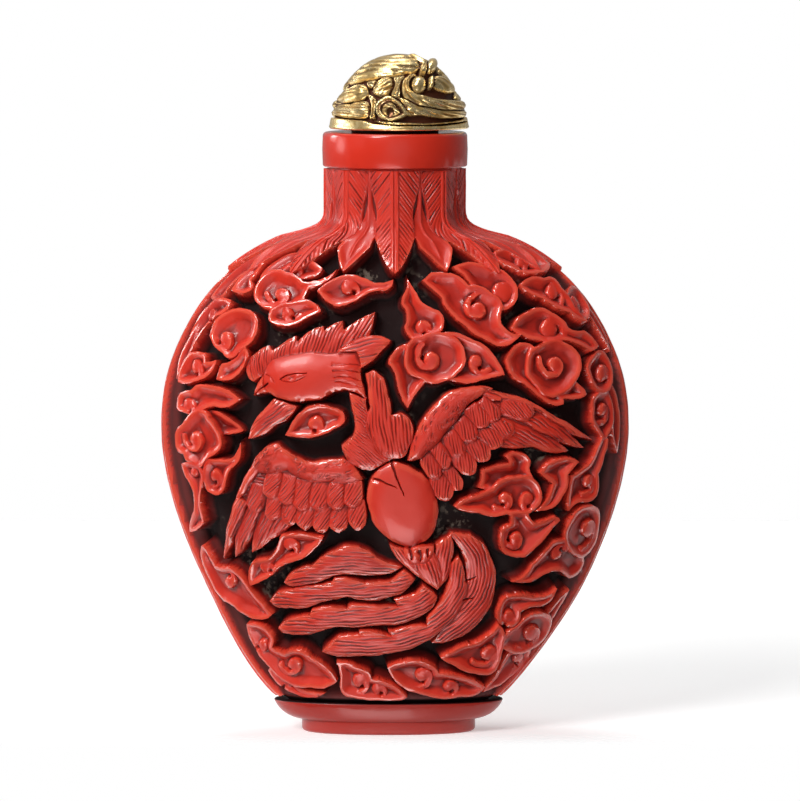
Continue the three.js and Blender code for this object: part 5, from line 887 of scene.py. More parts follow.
@dataclass(frozen=True)
class BackPattern:
    """Plain rows of three of the front's clouds, moved over the back."""

    names: tuple[str, ...] = ("rose cloud left", "foot cloud right", "great round cloud left")
    rows: tuple[float, ...] = (7.0, 14.0, 21.5, 29.0, 36.5, 43.5)
    pitch: float = 9.6
    scale: float = 1.05
    reach: float = 0.8

    def moved(self, name: str, s: float, z: float, flip: int) -> Cloud:
        """A copy of a front cloud.

        Args:
            name: the cloud that is copied.
            s: where its middle goes.
            z: the height that its middle goes to.
            flip: -1 mirrors it.

        Returns:
            The moved cloud.
        """
        cloud = next(c for c in CLOUDS if c.name == name)
        middle = np.mean([c[:2] for c in cloud.corners], axis=0)

        def place(ps: float, pz: float) -> tuple[float, float]:
            """Where a point of the cloud goes."""
            return s + flip * self.scale * (ps - middle[0]), z + self.scale * (pz - middle[1])

        corners = [(*place(c[0], c[1]), c[2]) for c in cloud.corners]
        knobs = []
        for ks, kz, radius, bearing, sweep in cloud.knobs:
            turned = bearing if flip > 0 else 180 - bearing
            knobs.append((*place(ks, kz), radius * self.scale, turned, flip * sweep))
        return Cloud(name, cloud.level, corners, knobs)

    def clouds(self, envelope: "Envelope") -> list[Cloud]:
        """The back's clouds, spread over the girth at each row's height.

        Args:
            envelope: the form that gives the girth.

        Returns:
            The clouds, from the lowest row up.
        """
        found = []
        for index, z in enumerate(self.rows):
            reach = envelope.quarter(z) * self.reach
            count = max(2, math.floor(2 * reach / self.pitch + 0.5) + index % 2)
            for i in range(count):
                odd = (i + index) % 2
                name = self.names[(i + index) % len(self.names)]
                s = -reach + 2 * reach * (i + 0.5) / count
                found.append(self.moved(name, s, z, -1 if odd else 1))
        return found


# ------------------------------------------------------------------ bottle
Curve = tuple[tuple[float, float], ...]


@dataclass(frozen=True)
class Envelope:
    """The smooth form that the carving is cut into: flattened body, shoulders and neck."""

    width_curves: tuple[Curve, ...] = (
        ((11.6, 3.7), (14.6, 6.3), (23.4, 20.0), (23.4, 30.6)),
        ((23.4, 30.6), (23.4, 39.0), (19.1, 46.6), (11.2, 49.6)),
        ((11.2, 49.6), (6.65, 50.6), (7.0, 51.2), (7.0, 53.0)),
    )
    depth_curves: tuple[Curve, ...] = (
        ((5.8, 3.7), (8.6, 9.0), (11.5, 19.0), (11.5, 29.0)),
        ((11.5, 29.0), (11.5, 38.0), (9.6, 44.0), (8.4, 47.0)),
        ((8.4, 47.0), (7.3, 49.6), (7.0, 51.0), (7.0, 53.0)),
    )
    squareness: float = 2.25
    round_from: float = 52.0
    round_over: float = 6.0
    foot_lean: float = -0.65
    lean_from: float = 16.0
    lean_over: float = 12.0

    @staticmethod
    def radius(curves: tuple[Curve, ...], z: np.ndarray) -> np.ndarray:
        """Radius along a chain of cubic curves that rise in z, which runs on straight below them.

        Args:
            curves: the curves' four points each, as (radius, z).
            z: the heights asked about.

        Returns:
            The radius at each height.
        """
        t = np.linspace(0.0, 1.0, 200)
        heights, radii = [], []
        for curve in curves:
            a, b, c, d = np.array(curve)
            weights = ((1 - t) ** 3, 3 * (1 - t) ** 2 * t, 3 * (1 - t) * t * t, t**3)
            point = sum(np.outer(w, p) for w, p in zip(weights, (a, b, c, d)))
            radii.append(point[:, 0])
            heights.append(point[:, 1])
        r, h = np.concatenate(radii), np.concatenate(heights)
        order = np.argsort(h, kind="stable")
        r, h = r[order], h[order]
        slope = (r[9] - r[0]) / (h[9] - h[0])
        below = np.minimum(z - h[0], 0.0)
        return np.interp(z, h, r) + slope * below

    def lean(self, z: np.ndarray) -> np.ndarray:
        """How far the section at a height is moved sideways."""
        return self.foot_lean * ease(self.lean_from, self.lean_from - self.lean_over, z)

    def section(self, z: float) -> tuple[np.ndarray, np.ndarray, np.ndarray]:
        """A quarter of the plan at a height.

        Args:
            z: the height.

        Returns:
            Arc length, x and y of points from the front's middle to the side.
        """
        a = float(self.radius(self.width_curves, np.array(z)))
        b = float(self.radius(self.depth_curves, np.array(z)))
        power = 2 + (self.squareness - 2) * min(max((self.round_from - z) / self.round_over, 0), 1)
        return superellipse(a, b, power)

    def quarter(self, z: float) -> float:
        """Arc length of a quarter of the plan."""
        return float(self.section(z)[0][-1])


def superellipse(a: float, b: float, power: float) -> tuple[np.ndarray, np.ndarray, np.ndarray]:
    """A quarter of a superellipse: arc length, x and y, from x = 0 to y = 0."""
    angle = np.linspace(0.0, math.pi / 2, 97)
    x = a * np.sin(angle) ** (2 / power)
    y = b * np.maximum(np.cos(angle), 0.0) ** (2 / power)
    arc = np.concatenate([[0.0], np.cumsum(np.hypot(np.diff(x), np.diff(y)))])
    return arc, x, y


@dataclass
class NeckLeaves:
    """Long plantain leaves that hang round the neck, and shorter ones between them."""

    count: int = 8
    # the long leaves
    tip: float = 46.3
    half_width: float = 1.95
    collar_spread: float = 0.75
    foot_spread: float = 0.12
    point: tuple[float, float] = (3.6, 0.62)
    # the short leaves between and behind them
    under_tip: float = 46.5
    shoulder: float = 48.9
    under_half_width: float = 0.25
    under_spread: float = 1.45
    under_level: float = -0.5
    under_rise: float = 0.42
    scoop: float = 0.28
    crease: float = 0.12
    # how the long leaves' blades fall from the rib, and their veins
    fall: float = 0.3
    turned_down: float = 0.1
    uneven: float = 0.12
    rib: float = 0.13
    vein_pitch: float = 0.5
    vein_slope: float = 1.25
    vein_depth: float = 0.06

    def half(self, z: np.ndarray) -> np.ndarray:
        """Half width of a long leaf."""
        body = self.half_width + self.collar_spread * ease(52.0, 55.5, z)
        body = body + self.foot_spread * ease(52.0, 50.5, z)
        run, power = self.point
        return body * np.clip((z - self.tip) / run, 0, 1) ** power - (z < self.tip)

    def under_half(self, z: np.ndarray) -> np.ndarray:
        """Half width of a short leaf, which flares below the waist of the long ones."""
        flare = self.under_half_width + self.under_spread * ease(53.5, 48.6, z)
        point = np.clip((z - self.under_tip) / (self.shoulder - self.under_tip), 0, 1) ** 0.8
        return flare * point - (z < self.under_tip)

    def carve(self, flat: Field, part: np.ndarray, girth: np.ndarray) -> None:
        """Carves the leaves.

        Args:
            flat: the whole grid, with the heights so far.
            part: the part of the girth from the front's middle, as a row.
            girth: the girth of the rings, as a column.
        """
        z = flat.z
        turn = part * self.count
        step = girth / self.count
        side = (turn - np.round(turn)) * step
        off = np.abs(side)
        between = (turn - np.floor(turn) - 0.5) * step
        inner = self.under_half(z) - np.abs(between)
        ridge = self.under_level + self.under_rise * ease(51.5, 47.6, z) + np.zeros(inner.shape)
        scoop = self.scoop * ease(0.1, 0.9, inner) * ease(50.5, 48.0, z)
        crease = self.crease * ease(0.25, 0.0, np.abs(between)) * ease(47.0, 49.0, z)
        top = ridge - scoop + crease
        whole = np.ones(inner.shape, bool)
        flat.lay(whole, top.ravel(), inner.ravel(), ridge.ravel())
        inner = self.half(z) - off
        rib = self.rib * (ease(0.4, 0.34, off) - ease(0.16, 0.1, off))
        leaf = 31.0 * np.round(turn)
        phase, press = strokes((z + self.vein_slope * off) / self.vein_pitch + leaf, off)
        press = press * ease(0.05, 0.2, inner) * ease(0.36, 0.5, off)
        blade = -self.fall * np.clip(off / 2, 0, 1) ** 1.5 - rounded_edge(inner, 0.1)
        blade = blade - self.uneven * own(leaf)
        blade = blade - self.turned_down * ease(0.6, 1.4, off) * ease(50.0, 47.0, z)
        top = blade + rib - self.vein_depth * furrow(phase) * press
        flat.lay(whole, top.ravel(), inner.ravel(), blade.ravel() - 0.05)
        flat.mark_strokes(whole, phase.ravel(), press.ravel())


@dataclass
class SideBand:
    """The plain upright moulding on each narrow side."""

    top: float = 48.3
    half: float = 2.5
    taper: float = 22.0
    point: float = 0.8
    sunk: float = 0.25
    groove: float = 0.4
    wall_steepness: float = 0.4

    def carve(self, flat: Field, to_side: np.ndarray) -> None:
        """Carves the band.

        Args:
            flat: the whole grid, with the heights so far.
            to_side: distance along the surface from the middle of the narrow side.
        """
        rise = np.clip((self.top - flat.z) / self.taper, 0, 1)
        inner = self.half * rise**self.point - to_side - (flat.z > self.top)
        groove = ease(0.35, 0.5, inner) - ease(0.85, 1.05, inner)
        groove = self.groove * groove * ease(38.0, 34.0, flat.z)
        level = -self.sunk * ease(34.0, 42.0, flat.z) + np.zeros(inner.shape)
        top = level - 0.05 - groove - rounded_edge(inner, 0.1)
        whole = np.ones(inner.shape, bool)
        flat.lay(whole, top.ravel(), inner.ravel() * self.wall_steepness, level.ravel() - EDGE_DROP)


@dataclass
class Rings:
    """Collects closed rings of points, from one pole to the other, into a mesh."""

    points: list[np.ndarray] = field(default_factory=list)
    marks: list[np.ndarray] = field(default_factory=list)

    def add(self, ring: np.ndarray, marks: np.ndarray | None = None) -> None:
        """Adds a ring, or a grid of rings.

        Args:
            ring: its points.
            marks: its MARKS at every point; without them it is plain.
        """
        grid = ring.reshape(-1, ring.shape[-2], 3)
        if marks is None:
            marks = np.zeros((*grid.shape[:2], len(MARKS)))
            marks[..., MARKS.index("cavity")] = EVEN
        self.points.append(grid)
        self.marks.append(marks)

    def mesh(self, name: str, start: Vector, end: Vector, wanted: int) -> bpy.types.Object:
        """Joins the rings, closes the two ends and thins the mesh.

        Args:
            name: the object's name.
            start: the pole before the first ring.
            end: the pole after the last.
            wanted: about how many triangles stay.

        Returns:
            The object, in metres.
        """
        grid = np.concatenate(self.points)
        marks = np.concatenate(self.marks).reshape(-1, len(MARKS))
        rows, columns = grid.shape[:2]
        poles = np.array([start, end])
        points = np.vstack([grid.reshape(-1, 3), poles]) * MM
        marks = np.vstack([marks, marks[:1], marks[-1:]])
        index = np.arange(rows * columns).reshape(rows, columns)
        right = np.roll(index, -1, axis=1)
        quads = np.stack([index[:-1], right[:-1], right[1:], index[1:]], axis=-1).reshape(-1, 4)
        low = np.stack([np.full(columns, rows * columns), right[0], index[0]], axis=-1)
        high = np.stack([np.full(columns, rows * columns + 1), index[-1], right[-1]], axis=-1)
        fans = np.vstack([low, high])
        mesh = bpy.data.meshes.new(name)
        mesh.vertices.add(len(points))
        mesh.vertices.foreach_set("co", points.ravel().astype(np.float32))
        corners = np.concatenate([quads.ravel(), fans.ravel()]).astype(np.int32)
        mesh.loops.add(len(corners))
        mesh.loops.foreach_set("vertex_index", corners)
        starts = np.concatenate(
            [np.arange(len(quads)) * 4, len(quads) * 4 + np.arange(len(fans)) * 3]
        )
        mesh.polygons.add(len(starts))
        mesh.polygons.foreach_set("loop_start", starts.astype(np.int32))
        for column, mark in enumerate(MARKS):
            layer = mesh.attributes.new(mark, "FLOAT", "POINT")
            layer.data.foreach_set("value", marks[:, column].astype(np.float32))
        mesh.update(calc_edges=True)
        piece = bpy.data.objects.new(name, mesh)
        bpy.context.scene.collection.objects.link(piece)
        return thinned(piece, wanted / (2 * len(quads) + len(fans)))


def thinned(piece: bpy.types.Object, ratio: float) -> bpy.types.Object:
    """Thins a piece's mesh where it is flat, and shades it smooth with crisp arrises.

    Args:
        piece: the object, changed in place.
        ratio: the part of its triangles that stays.

    Returns:
        The same object.
    """
    thinner = piece.modifiers.new("thin", "DECIMATE")
    thinner.ratio = min(ratio, 1.0)
    thinner.use_collapse_triangulate = True
    graph = bpy.context.evaluated_depsgraph_get()
    mesh = bpy.data.meshes.new_from_object(piece.evaluated_get(graph))
    old = piece.data
    piece.modifiers.clear()
    piece.data = mesh
    bpy.data.meshes.remove(old)
    mesh.name = piece.name
    mesh.shade_smooth()
    mesh.set_sharp_from_angle(angle=math.radians(SHARP_ANGLE))
    return piece


@dataclass
class CarvedBottle:
    """The hollow lacquer bottle: foot, flange, carved body and neck, lip band and inside."""

    envelope: Envelope = field(default_factory=Envelope)
    # the carved rings
    front_columns: int = 940
    back_columns: int = 520
    row_step: float = 0.062
    carving_bottom: float = 3.45
    carving_top: float = 56.3
    carving_end: float = 0.14
    neck_relief: float = 0.7
    neck_fade: tuple[float, float] = (51.0, 48.0)
    seat: float = 0.25
    seat_top: float = 5.2
    # the lip band over its groove, and the mouth
    lip_top: float = 59.95
    lip_bottom: float = 56.5
    lip_radius: float = 7.2
    lip_swell: float = 0.05
    lip_corners: tuple[float, float] = (0.22, 0.4)
    groove_radius: float = 6.6
    groove: tuple[float, float] = (0.05, 0.02)
    mouth_radius: float = 3.3
    mouth_bevel: float = 0.15
    # the foot, recessed below, and the flange over it
    flange_top: float = 3.2
    flange: tuple[float, float] = (11.45, 5.35)
    flange_turn: float = 68.0
    flange_edge: float = 0.1
    flange_corner: tuple[tuple[float, float], ...] = ((0.06, 0.0), (0.22, 0.05), (1.5, -0.05))
    foot: tuple[float, float] = (8.7, 4.75)
    foot_top: float = 1.3
    foot_rim: float = 1.5
    foot_corner: tuple[float, float] = (0.4, 0.45)
    foot_recess: float = 0.5
    recess_slant: float = 0.15
    foot_power: float = 2.2
    # the inside: half sizes and middle of the hollow
    hollow: tuple[float, float, float] = (19.0, 7.8, 21.0)
    hollow_z: float = 26.5
    triangles: int = 192000

    def columns(self) -> np.ndarray:
        """Girth parts of the columns, from the left side round the front to the back."""
        front = -0.25 + 0.5 * np.arange(self.front_columns) / self.front_columns
        back = 0.25 + 0.5 * np.arange(self.back_columns) / self.back_columns
        return np.concatenate([front, back])

    @staticmethod
    def ring(quarter: tuple[np.ndarray, ...], z: float, shift: float, part: np.ndarray) -> np.ndarray:
        """Points round a plan that is given by its quarter.

        Args:
            quarter: arc length, x and y of the quarter.
            z: the ring's height.
            shift: how far it is moved along x.
            part: the columns' girth parts.

        Returns:
            One point per column.
        """
        arc, x, y = quarter
        g = (part % 1.0) * 4
        quadrant = np.minimum(np.floor(g), 3)
        t = np.where(quadrant % 2 == 1, 1 - (g - quadrant), g - quadrant) * arc[-1]
        sx = np.where(quadrant < 2, 1.0, -1.0)
        sy = np.where((quadrant == 0) | (quadrant == 3), -1.0, 1.0)
        px, py = np.interp(t, arc, x), np.interp(t, arc, y)
        return np.stack([sx * px + shift, sy * py, np.full(part.shape, z)], axis=-1)

    def heights(self) -> np.ndarray:
        """Heights of the carved rings, evenly spaced along the widest outline."""
        z = np.linspace(self.carving_bottom, self.carving_top, 4000)
        r = self.envelope.radius(self.envelope.width_curves, z)
        run = np.concatenate([[0.0], np.cumsum(np.hypot(np.diff(z), np.diff(r)))])
        return np.interp(np.linspace(0, run[-1], round(run[-1] / self.row_step) + 1), run, z)

    def carving(self, part: np.ndarray, z: np.ndarray, quarter: np.ndarray) -> Field:
        """Height and marks of the carving on the whole grid.

        Args:
            part: the columns' girth parts, as a row.
            z: the rings' heights, as a column.
            quarter: the rings' quarter girths, as a column.

        Returns:
            The grid, with heights against the envelope, zero or below almost everywhere.
        """
        ground = self.neck_relief + (RELIEF - self.neck_relief) * ease(*self.neck_fade, z)
        ground *= self.seat + (1 - self.seat) * ease(self.carving_bottom, self.seat_top, z)
        shape = (len(z), part.shape[1])
        whole = Field(np.zeros(shape), np.broadcast_to(z, shape), -ground + np.zeros(shape))
        front = part[0] < 0.25
        halves = ((front, part, self.front_motifs()), (~front, part - 0.5, self.back_motifs()))
        for chosen, shifted, motifs in halves:
            s = 4 * shifted[:, chosen] * quarter
            flat = Field(*self.wavered(s, np.broadcast_to(z, s.shape)), whole.height[:, chosen])
            for motif in motifs:
                motif.carve(flat)
            for name in ("height", *MARKS[2:]):
                getattr(whole, name)[:, chosen] = getattr(flat, name)
        to_side = np.abs(np.abs((part + 0.25) % 0.5 - 0.25) * 4 - 1) * quarter
        SideBand().carve(whole, to_side)
        NeckLeaves().carve(whole, part, quarter * 4)
        end = ease(self.carving_bottom, self.carving_bottom + self.carving_end, z)
        whole.height = -ground + (whole.height + ground) * end + self.tremor(part, z)
        return whole

    @staticmethod
    def tremor(part: np.ndarray, z: np.ndarray) -> np.ndarray:
        """Small rises and falls of the surface, so that its tops aren't quite smooth."""
        return 0.008 * np.sin(2.3 * z + 211.0 * part) + 0.006 * np.sin(1.7 * z - 397.0 * part)

    @staticmethod
    def wavered(s: np.ndarray, z: np.ndarray) -> tuple[np.ndarray, np.ndarray]:
        """Coordinates moved a little to and fro, so that edges run as a hand cuts them."""
        shift = 0.05 * np.sin(1.9 * z + 2.0 * np.sin(1.1 * s)) + 0.015 * np.sin(5.3 * z - 2.1 * s)
        rise = 0.05 * np.sin(1.7 * s + 2.0 * np.sin(1.3 * z)) + 0.015 * np.sin(5.9 * s + 1.7 * z)
        return s + shift, z + rise

    @staticmethod
    def front_motifs() -> list[Cloud | Feather | Covert | Nick]:
        """The front's motifs from the back of the relief to its front."""
        names = [feather.name for feather in FEATHERS]
        over = names.index(FIRST_OVER_COVERTS)
        return [*CLOUDS, *FEATHERS[:over], *COVERTS, *FEATHERS[over:], *NICKS]

    def back_motifs(self) -> list[Cloud]:
        """The back's motifs."""
        return BackPattern().clouds(self.envelope)

    def carved_grid(self, part: np.ndarray) -> tuple[np.ndarray, np.ndarray]:
        """Points and marks of the carved rings.

        Args:
            part: the columns' girth parts.

        Returns:
            The grid of points, and its MARKS.
        """
        z = self.heights()
        quarters = [self.envelope.section(float(v)) for v in z]
        lean = self.envelope.lean(z)
        rows = [self.ring(q, float(v), float(d), part) for q, v, d in zip(quarters, z, lean)]
        smooth = np.stack(rows)
        east = np.roll(smooth, -1, axis=1) - np.roll(smooth, 1, axis=1)
        up = np.gradient(smooth, axis=0)
        outward = np.cross(east, up)
        outward /= np.linalg.norm(outward, axis=-1, keepdims=True)
        girth = np.array([q[0][-1] for q in quarters])[:, None]
        laid = self.carving(part[None, :], z[:, None], girth)
        depth = np.clip(-laid.height / RELIEF, 0, 1)
        cavity = cavity_mark(laid.height, 5, 5)
        open_ground, press = soften(laid.open_ground, 2, 2), soften(laid.press, 1, 1)
        marks = np.stack([depth, cavity, open_ground, laid.stroke, press], axis=-1)
        return smooth + outward * laid.height[..., None], marks

    def oval(self, size: tuple[float, float], inset: float, z: float) -> np.ndarray:
        """A ring of the foot or the flange: its half sizes less an inset, and its height."""
        plan = superellipse(size[0] - inset, size[1] - inset, self.foot_power)
        return self.ring(plan, z, self.envelope.foot_lean, self.columns())

    def turned(self, radius: float, z: float) -> np.ndarray:
        """A round ring on the neck's axis."""
        return self.ring(superellipse(radius, radius, 2), z, 0.0, self.columns())

    def add_foot(self, rings: Rings) -> None:
        """Adds the recess under the foot, the foot and the flange, from below.

        Args:
            rings: the rings so far.
        """
        rings.add(self.oval(self.foot, self.foot_rim + self.recess_slant, self.foot_recess))
        rings.add(self.oval(self.foot, self.foot_rim, 0))
        rings.add(self.oval(self.foot, self.foot_corner[0], 0))
        across, up = self.foot_corner
        for angle in np.radians((20, 40, 60, 75)):
            rings.add(self.oval(self.foot, across * (1 - math.sin(angle)), up * (1 - math.cos(angle))))
        edge = self.flange_top - self.flange_edge
        last = math.radians(self.flange_turn)
        for angle in np.linspace(0, last, 19):
            out = math.sin(angle) / math.sin(last)
            size = tuple(f + (g - f) * out for f, g in zip(self.foot, self.flange))
            rise = (1 - math.cos(angle)) / (1 - math.cos(last))
            rings.add(self.oval(size, 0, self.foot_top + (edge - self.foot_top) * rise))
        for inset, rise in self.flange_corner:
            rings.add(self.oval(self.flange, inset, self.flange_top + rise))

    def add_lip(self, rings: Rings) -> None:
        """Adds the groove over the carving and the lip band, up to the mouth.

        Args:
            rings: the rings so far.
        """
        low, high = self.groove
        rings.add(self.turned(self.groove_radius, self.carving_top + low))
        rings.add(self.turned(self.groove_radius, self.lip_bottom - high))
        below, above = self.lip_corners
        for angle in np.radians(np.linspace(0, 90, 6)):
            radius = self.lip_radius - below * (1 - math.sin(angle))
            rings.add(self.turned(radius, self.lip_bottom + below * (1 - math.cos(angle))))
        middle = (self.lip_top + self.lip_bottom) / 2
        rings.add(self.turned(self.lip_radius + self.lip_swell, middle))
        for angle in np.radians(np.linspace(90, 0, 8)):
            radius = self.lip_radius - above * (1 - math.sin(angle))
            rings.add(self.turned(radius, self.lip_top - above * (1 - math.cos(angle))))
        rings.add(self.turned(self.mouth_radius + self.mouth_bevel, self.lip_top))
        rings.add(self.turned(self.mouth_radius, self.lip_top - self.mouth_bevel))

    def add_inside(self, rings: Rings) -> None:
        """Adds the hollow, from the mouth down to the bottom.

        Args:
            rings: the rings so far.
        """
        wide, deep, tall = self.hollow
        neck = math.acos(self.mouth_radius / wide)
        for angle in np.linspace(neck, -math.pi / 2, 26)[:-1]:
            across = math.cos(angle)
            depth = max(deep * across, min(self.mouth_radius, wide * across))
            plan = superellipse(wide * across, depth, 2)
            z = self.hollow_z + tall * math.sin(angle)
            rings.add(self.ring(plan, z, 0.0, self.columns()))

    def build(self) -> bpy.types.Object:
        """Builds the bottle as one closed mesh, from under the foot up and down into the inside."""
        rings = Rings()
        self.add_foot(rings)
        rings.add(*self.carved_grid(self.columns()))
        self.add_lip(rings)
        self.add_inside(rings)
        start = Vector((self.envelope.foot_lean, 0, self.foot_recess))
        end = Vector((0, 0, self.hollow_z - self.hollow[2]))
        piece = rings.mesh("carved_bottle", start, end, self.triangles)
        piece.data.materials.append(Lacquer().material())
        return piece


# ------------------------------------------------------------------ stopper
CAP_SHAPES: list[Feather] = [
    Feather("foot band", -0.05, 0.1, Cut.PLAIN, (-7, 0.4, 0, 0.4, 7, 0.4), [
        (-7.6, -0.6, 0), (7.6, -0.6, 0), (7.6, 0.7, 0), (4.4, 0.45, 0), (0, 0.5, 0), (-2.6, 0.7, 0),
        (-3.6, 1, 0), (-7.6, 1.2, 0),
    ]),
    Feather("edge scale left", -0.3, 0.2, Cut.COMB, (-7, 2.5, -6.4, 2.8, -6, 3), [
        (-7.6, 2.2, 0.1), (-6.7, 3.1, 0.1), (-5.6, 3, 0.1), (-6.2, 2.4, 0),
    ]),
    Feather("stem left", -0.2, 0.25, Cut.COMB, (-3.1, 3.9, -2.75, 2.6, -2.95, 1.2), [
        (-3.5, 3.75, 0.1), (-2.6, 3.5, 0.15), (-2.4, 2.6, 0), (-2.55, 1.2, 0), (-3.15, 1.2, 0),
        (-2.95, 2.5, -0.1),
    ]),
    Feather("stem middle", -0.15, 0.25, Cut.COMB, (-0.05, 5.6, -0.1, 4.6, -0.3, 3.4), [
        (-0.6, 5.5, 0), (0.6, 5.7, 0.05), (0.25, 4.6, 0), (0.1, 3.45, 0.1), (-0.85, 3.65, 0.05),
        (-0.5, 4.6, 0),
    ]),
    Feather("nub under the fan", -0.25, 0.3, Cut.COMB, (-4, 4.9, -3.2, 5.1, -2.4, 5.2), [
        (-3.5, 4.95, 0.1), (-2.3, 5.2, 0.1), (-2.6, 4.6, 0.1), (-3.3, 4.5, 0),
    ]),
    Feather("edge leaf right", -0.3, 0.3, Cut.COMB, (5.8, 3.6, 6.6, 3.2, 7.4, 2.4), [
        (6.1, 3.75, 0.1), (7.2, 3.1, 0.1), (7.6, 2.3, 0), (6.4, 2.8, 0.1),
    ]),
    Feather("leaf low left", -0.05, 0.55, Cut.COMB, (-6.9, 1.8, -5, 2.15, -3.3, 2.2), [
        (-7.45, 1.5, 0.1), (-6.8, 2.4, 0.1), (-5.2, 2.75, 0.05), (-3.8, 3.15, 0.2), (-3.05, 2.5, 0.2),
        (-3.25, 1.4, 0.1), (-4.8, 1.2, 0.05),
    ]),
    Feather("leaf high left", 0.05, 0.6, Cut.COMB, (-6.4, 3, -5, 3.9, -3.4, 4.3), [
        (-6.75, 2.75, 0.1), (-6.2, 3.7, 0.1), (-5.2, 4.45, 0.08), (-4, 4.85, 0.18), (-3.3, 4.3, 0.2),
        (-3.6, 3.4, 0.1), (-4.9, 2.95, 0.05),
    ]),
    Feather("ribbed leaf", 0.05, 0.6, Cut.COMB, (-2.7, 3.9, -1.8, 4.8, -0.7, 5.5), [
        (-2.8, 3.9, 0.1), (-2.45, 5, 0.1), (-1.3, 5.65, 0.18), (-0.5, 5.1, 0.15), (-0.75, 4.1, 0.12),
        (-1.8, 3.65, 0.1),
    ]),
    Feather("fan", 0.05, 0.45, Cut.COMB, (-5, 4.9, -2.2, 6.4, 2.4, 6.6), [
        (-5.5, 4.75, 0.08), (-4.7, 6, 0.06), (-2.6, 7.6, 0.05), (0.5, 8.1, 0.05), (2.2, 7.3, 0.1),
        (2.45, 6.45, 0.1), (0.9, 6.05, -0.03), (-0.6, 5.65, 0), (-2.2, 5.5, 0.02), (-3.8, 5.25, 0),
    ]),
    Feather("low wave", -0.1, 0.3, Cut.COMB, (-0.4, 0.9, 2.7, 1, 7.4, 0.9), [
        (-2.8, 1.05, 0), (-0.6, 0.95, 0), (2.7, 0.75, 0), (5.5, 0.85, 0), (7.6, 1.15, 0), (7.6, 0.75, 0),
        (2.7, 0.5, 0), (-1.5, 0.6, 0),
    ]),
    Feather("middle wave", 0, 0.4, Cut.COMB, (0.3, 3.2, 2, 2.1, 7.4, 1.6), [
        (-0.1, 3.5, 0.05), (2, 2.6, 0), (4.4, 2.15, 0), (7.6, 1.9, 0), (7.6, 1.1, 0), (4.6, 1.2, 0),
        (2.4, 1.55, 0), (0.6, 1.5, 0.05), (0.6, 2.4, 0),
    ]),
    Feather("high wave", 0.05, 0.45, Cut.COMB, (1.6, 5.55, 0, 3.6, 7.5, 2.4), [
        (0.2, 4.5, 0.14), (0.75, 5.5, 0.16), (1.9, 5.75, 0.16), (2.75, 5.2, 0.04), (2.3, 5.45, -0.16),
        (1.2, 5.2, -0.14), (1.25, 4.2, -0.08), (2.5, 3.7, -0.03), (4.6, 3.2, 0), (6.6, 2.95, 0.1),
        (7.6, 2.2, 0), (7.6, 1.8, 0), (4.4, 2.05, 0), (2, 2.55, 0.04), (0.55, 3.4, 0.1),
    ]),
    Feather("leaf right", 0, 0.5, Cut.COMB, (3.4, 5.3, 4.6, 5.2, 5.9, 4.1), [
        (3.3, 5.35, 0.1), (4.5, 5.65, 0.12), (5.6, 4.85, 0.1), (6, 3.95, 0.12), (4.8, 4, 0),
        (3.4, 4.5, 0.1),
    ]),
    Feather("round boss", 0.1, 0.75, Cut.PLAIN, (1.2, 4.8, 2, 4.8, 3, 4.8), [
        (1.15, 4.85, 0.21), (2.1, 5.75, 0.21), (3, 4.85, 0.21), (2.1, 3.95, 0.21),
    ]),
    Feather("small boss", 0.12, 0.4, Cut.PLAIN, (3.2, 4.8, 3.6, 4.8, 4, 4.8), [
        (3.1, 5.4, 0.1), (3.5, 5.45, 0.1), (3.45, 4.3, 0.1), (3.05, 4.4, 0.1),
    ]),
    Feather("oval ring", 0.05, 0.12, Cut.PLAIN, (-2.3, 2.3, -0.9, 3.4, 0.5, 2.3), [
        (-2.35, 2.15, 0.22), (-1.75, 3.25, 0.2), (-0.6, 3.35, 0.1), (0.95, 1.65, 0.05), (-0.3, 1.1, 0.1),
        (-1.6, 1.15, 0.2),
    ]),
    Feather("oval hollow", -0.4, -0.1, Cut.PLAIN, (-2, 2.2, -0.9, 3, 0.4, 2.3), [
        (-2.1, 2.15, 0.22), (-1.6, 3, 0.2), (-0.65, 3.1, 0.1), (0.5, 1.75, 0.05), (-0.4, 1.35, 0.1),
        (-1.5, 1.4, 0.2),
    ]),
    Feather("oval leaf", 0, 0.45, Cut.COMB, (-1.9, 2.1, -0.9, 2.5, 0.3, 1.8), [
        (-1.85, 2.15, 0.2), (-1.35, 2.85, 0.16), (-0.6, 2.9, 0.1), (0.25, 1.8, 0.05), (-0.45, 1.5, 0.1),
        (-1.4, 1.55, 0.16),
    ]),
    Feather("oval eye", -0.55, -0.1, Cut.PLAIN, (-1.3, 1.9, -1, 1.9, -0.6, 1.9), [
        (-1.3, 1.75, 0.2), (-0.95, 2.35, 0.2), (-0.5, 1.95, 0.2), (-0.9, 1.5, 0.2),
    ]),
    Feather("knob stem", 0.2, 0.3, Cut.COMB, (2.3, 5.9, 2.6, 6.3, 2.7, 6.8), [
        (2.2, 5.75, 0), (2.75, 5.75, 0), (2.95, 6.7, 0.2), (2.35, 6.85, 0.1),
    ]),
    Feather("twig", 0.3, 0.2, Cut.PLAIN, (0.9, 7.5, 1.7, 7.1, 2.6, 6.7), [
        (0.9, 7.35, 0), (1.5, 7.35, 0), (2.7, 6.75, 0), (2.5, 6.5, 0),
    ]),
    Feather("top knob", 0.5, 0.45, Cut.PLAIN, (2.8, 6.5, 3.3, 6.5, 3.8, 6.5), [
        (2.75, 6.4, 0.21), (3.3, 6.95, 0.21), (3.85, 6.4, 0.21), (3.3, 5.85, 0.21),
    ]),
]
CAP_KNOB = "knob stem"


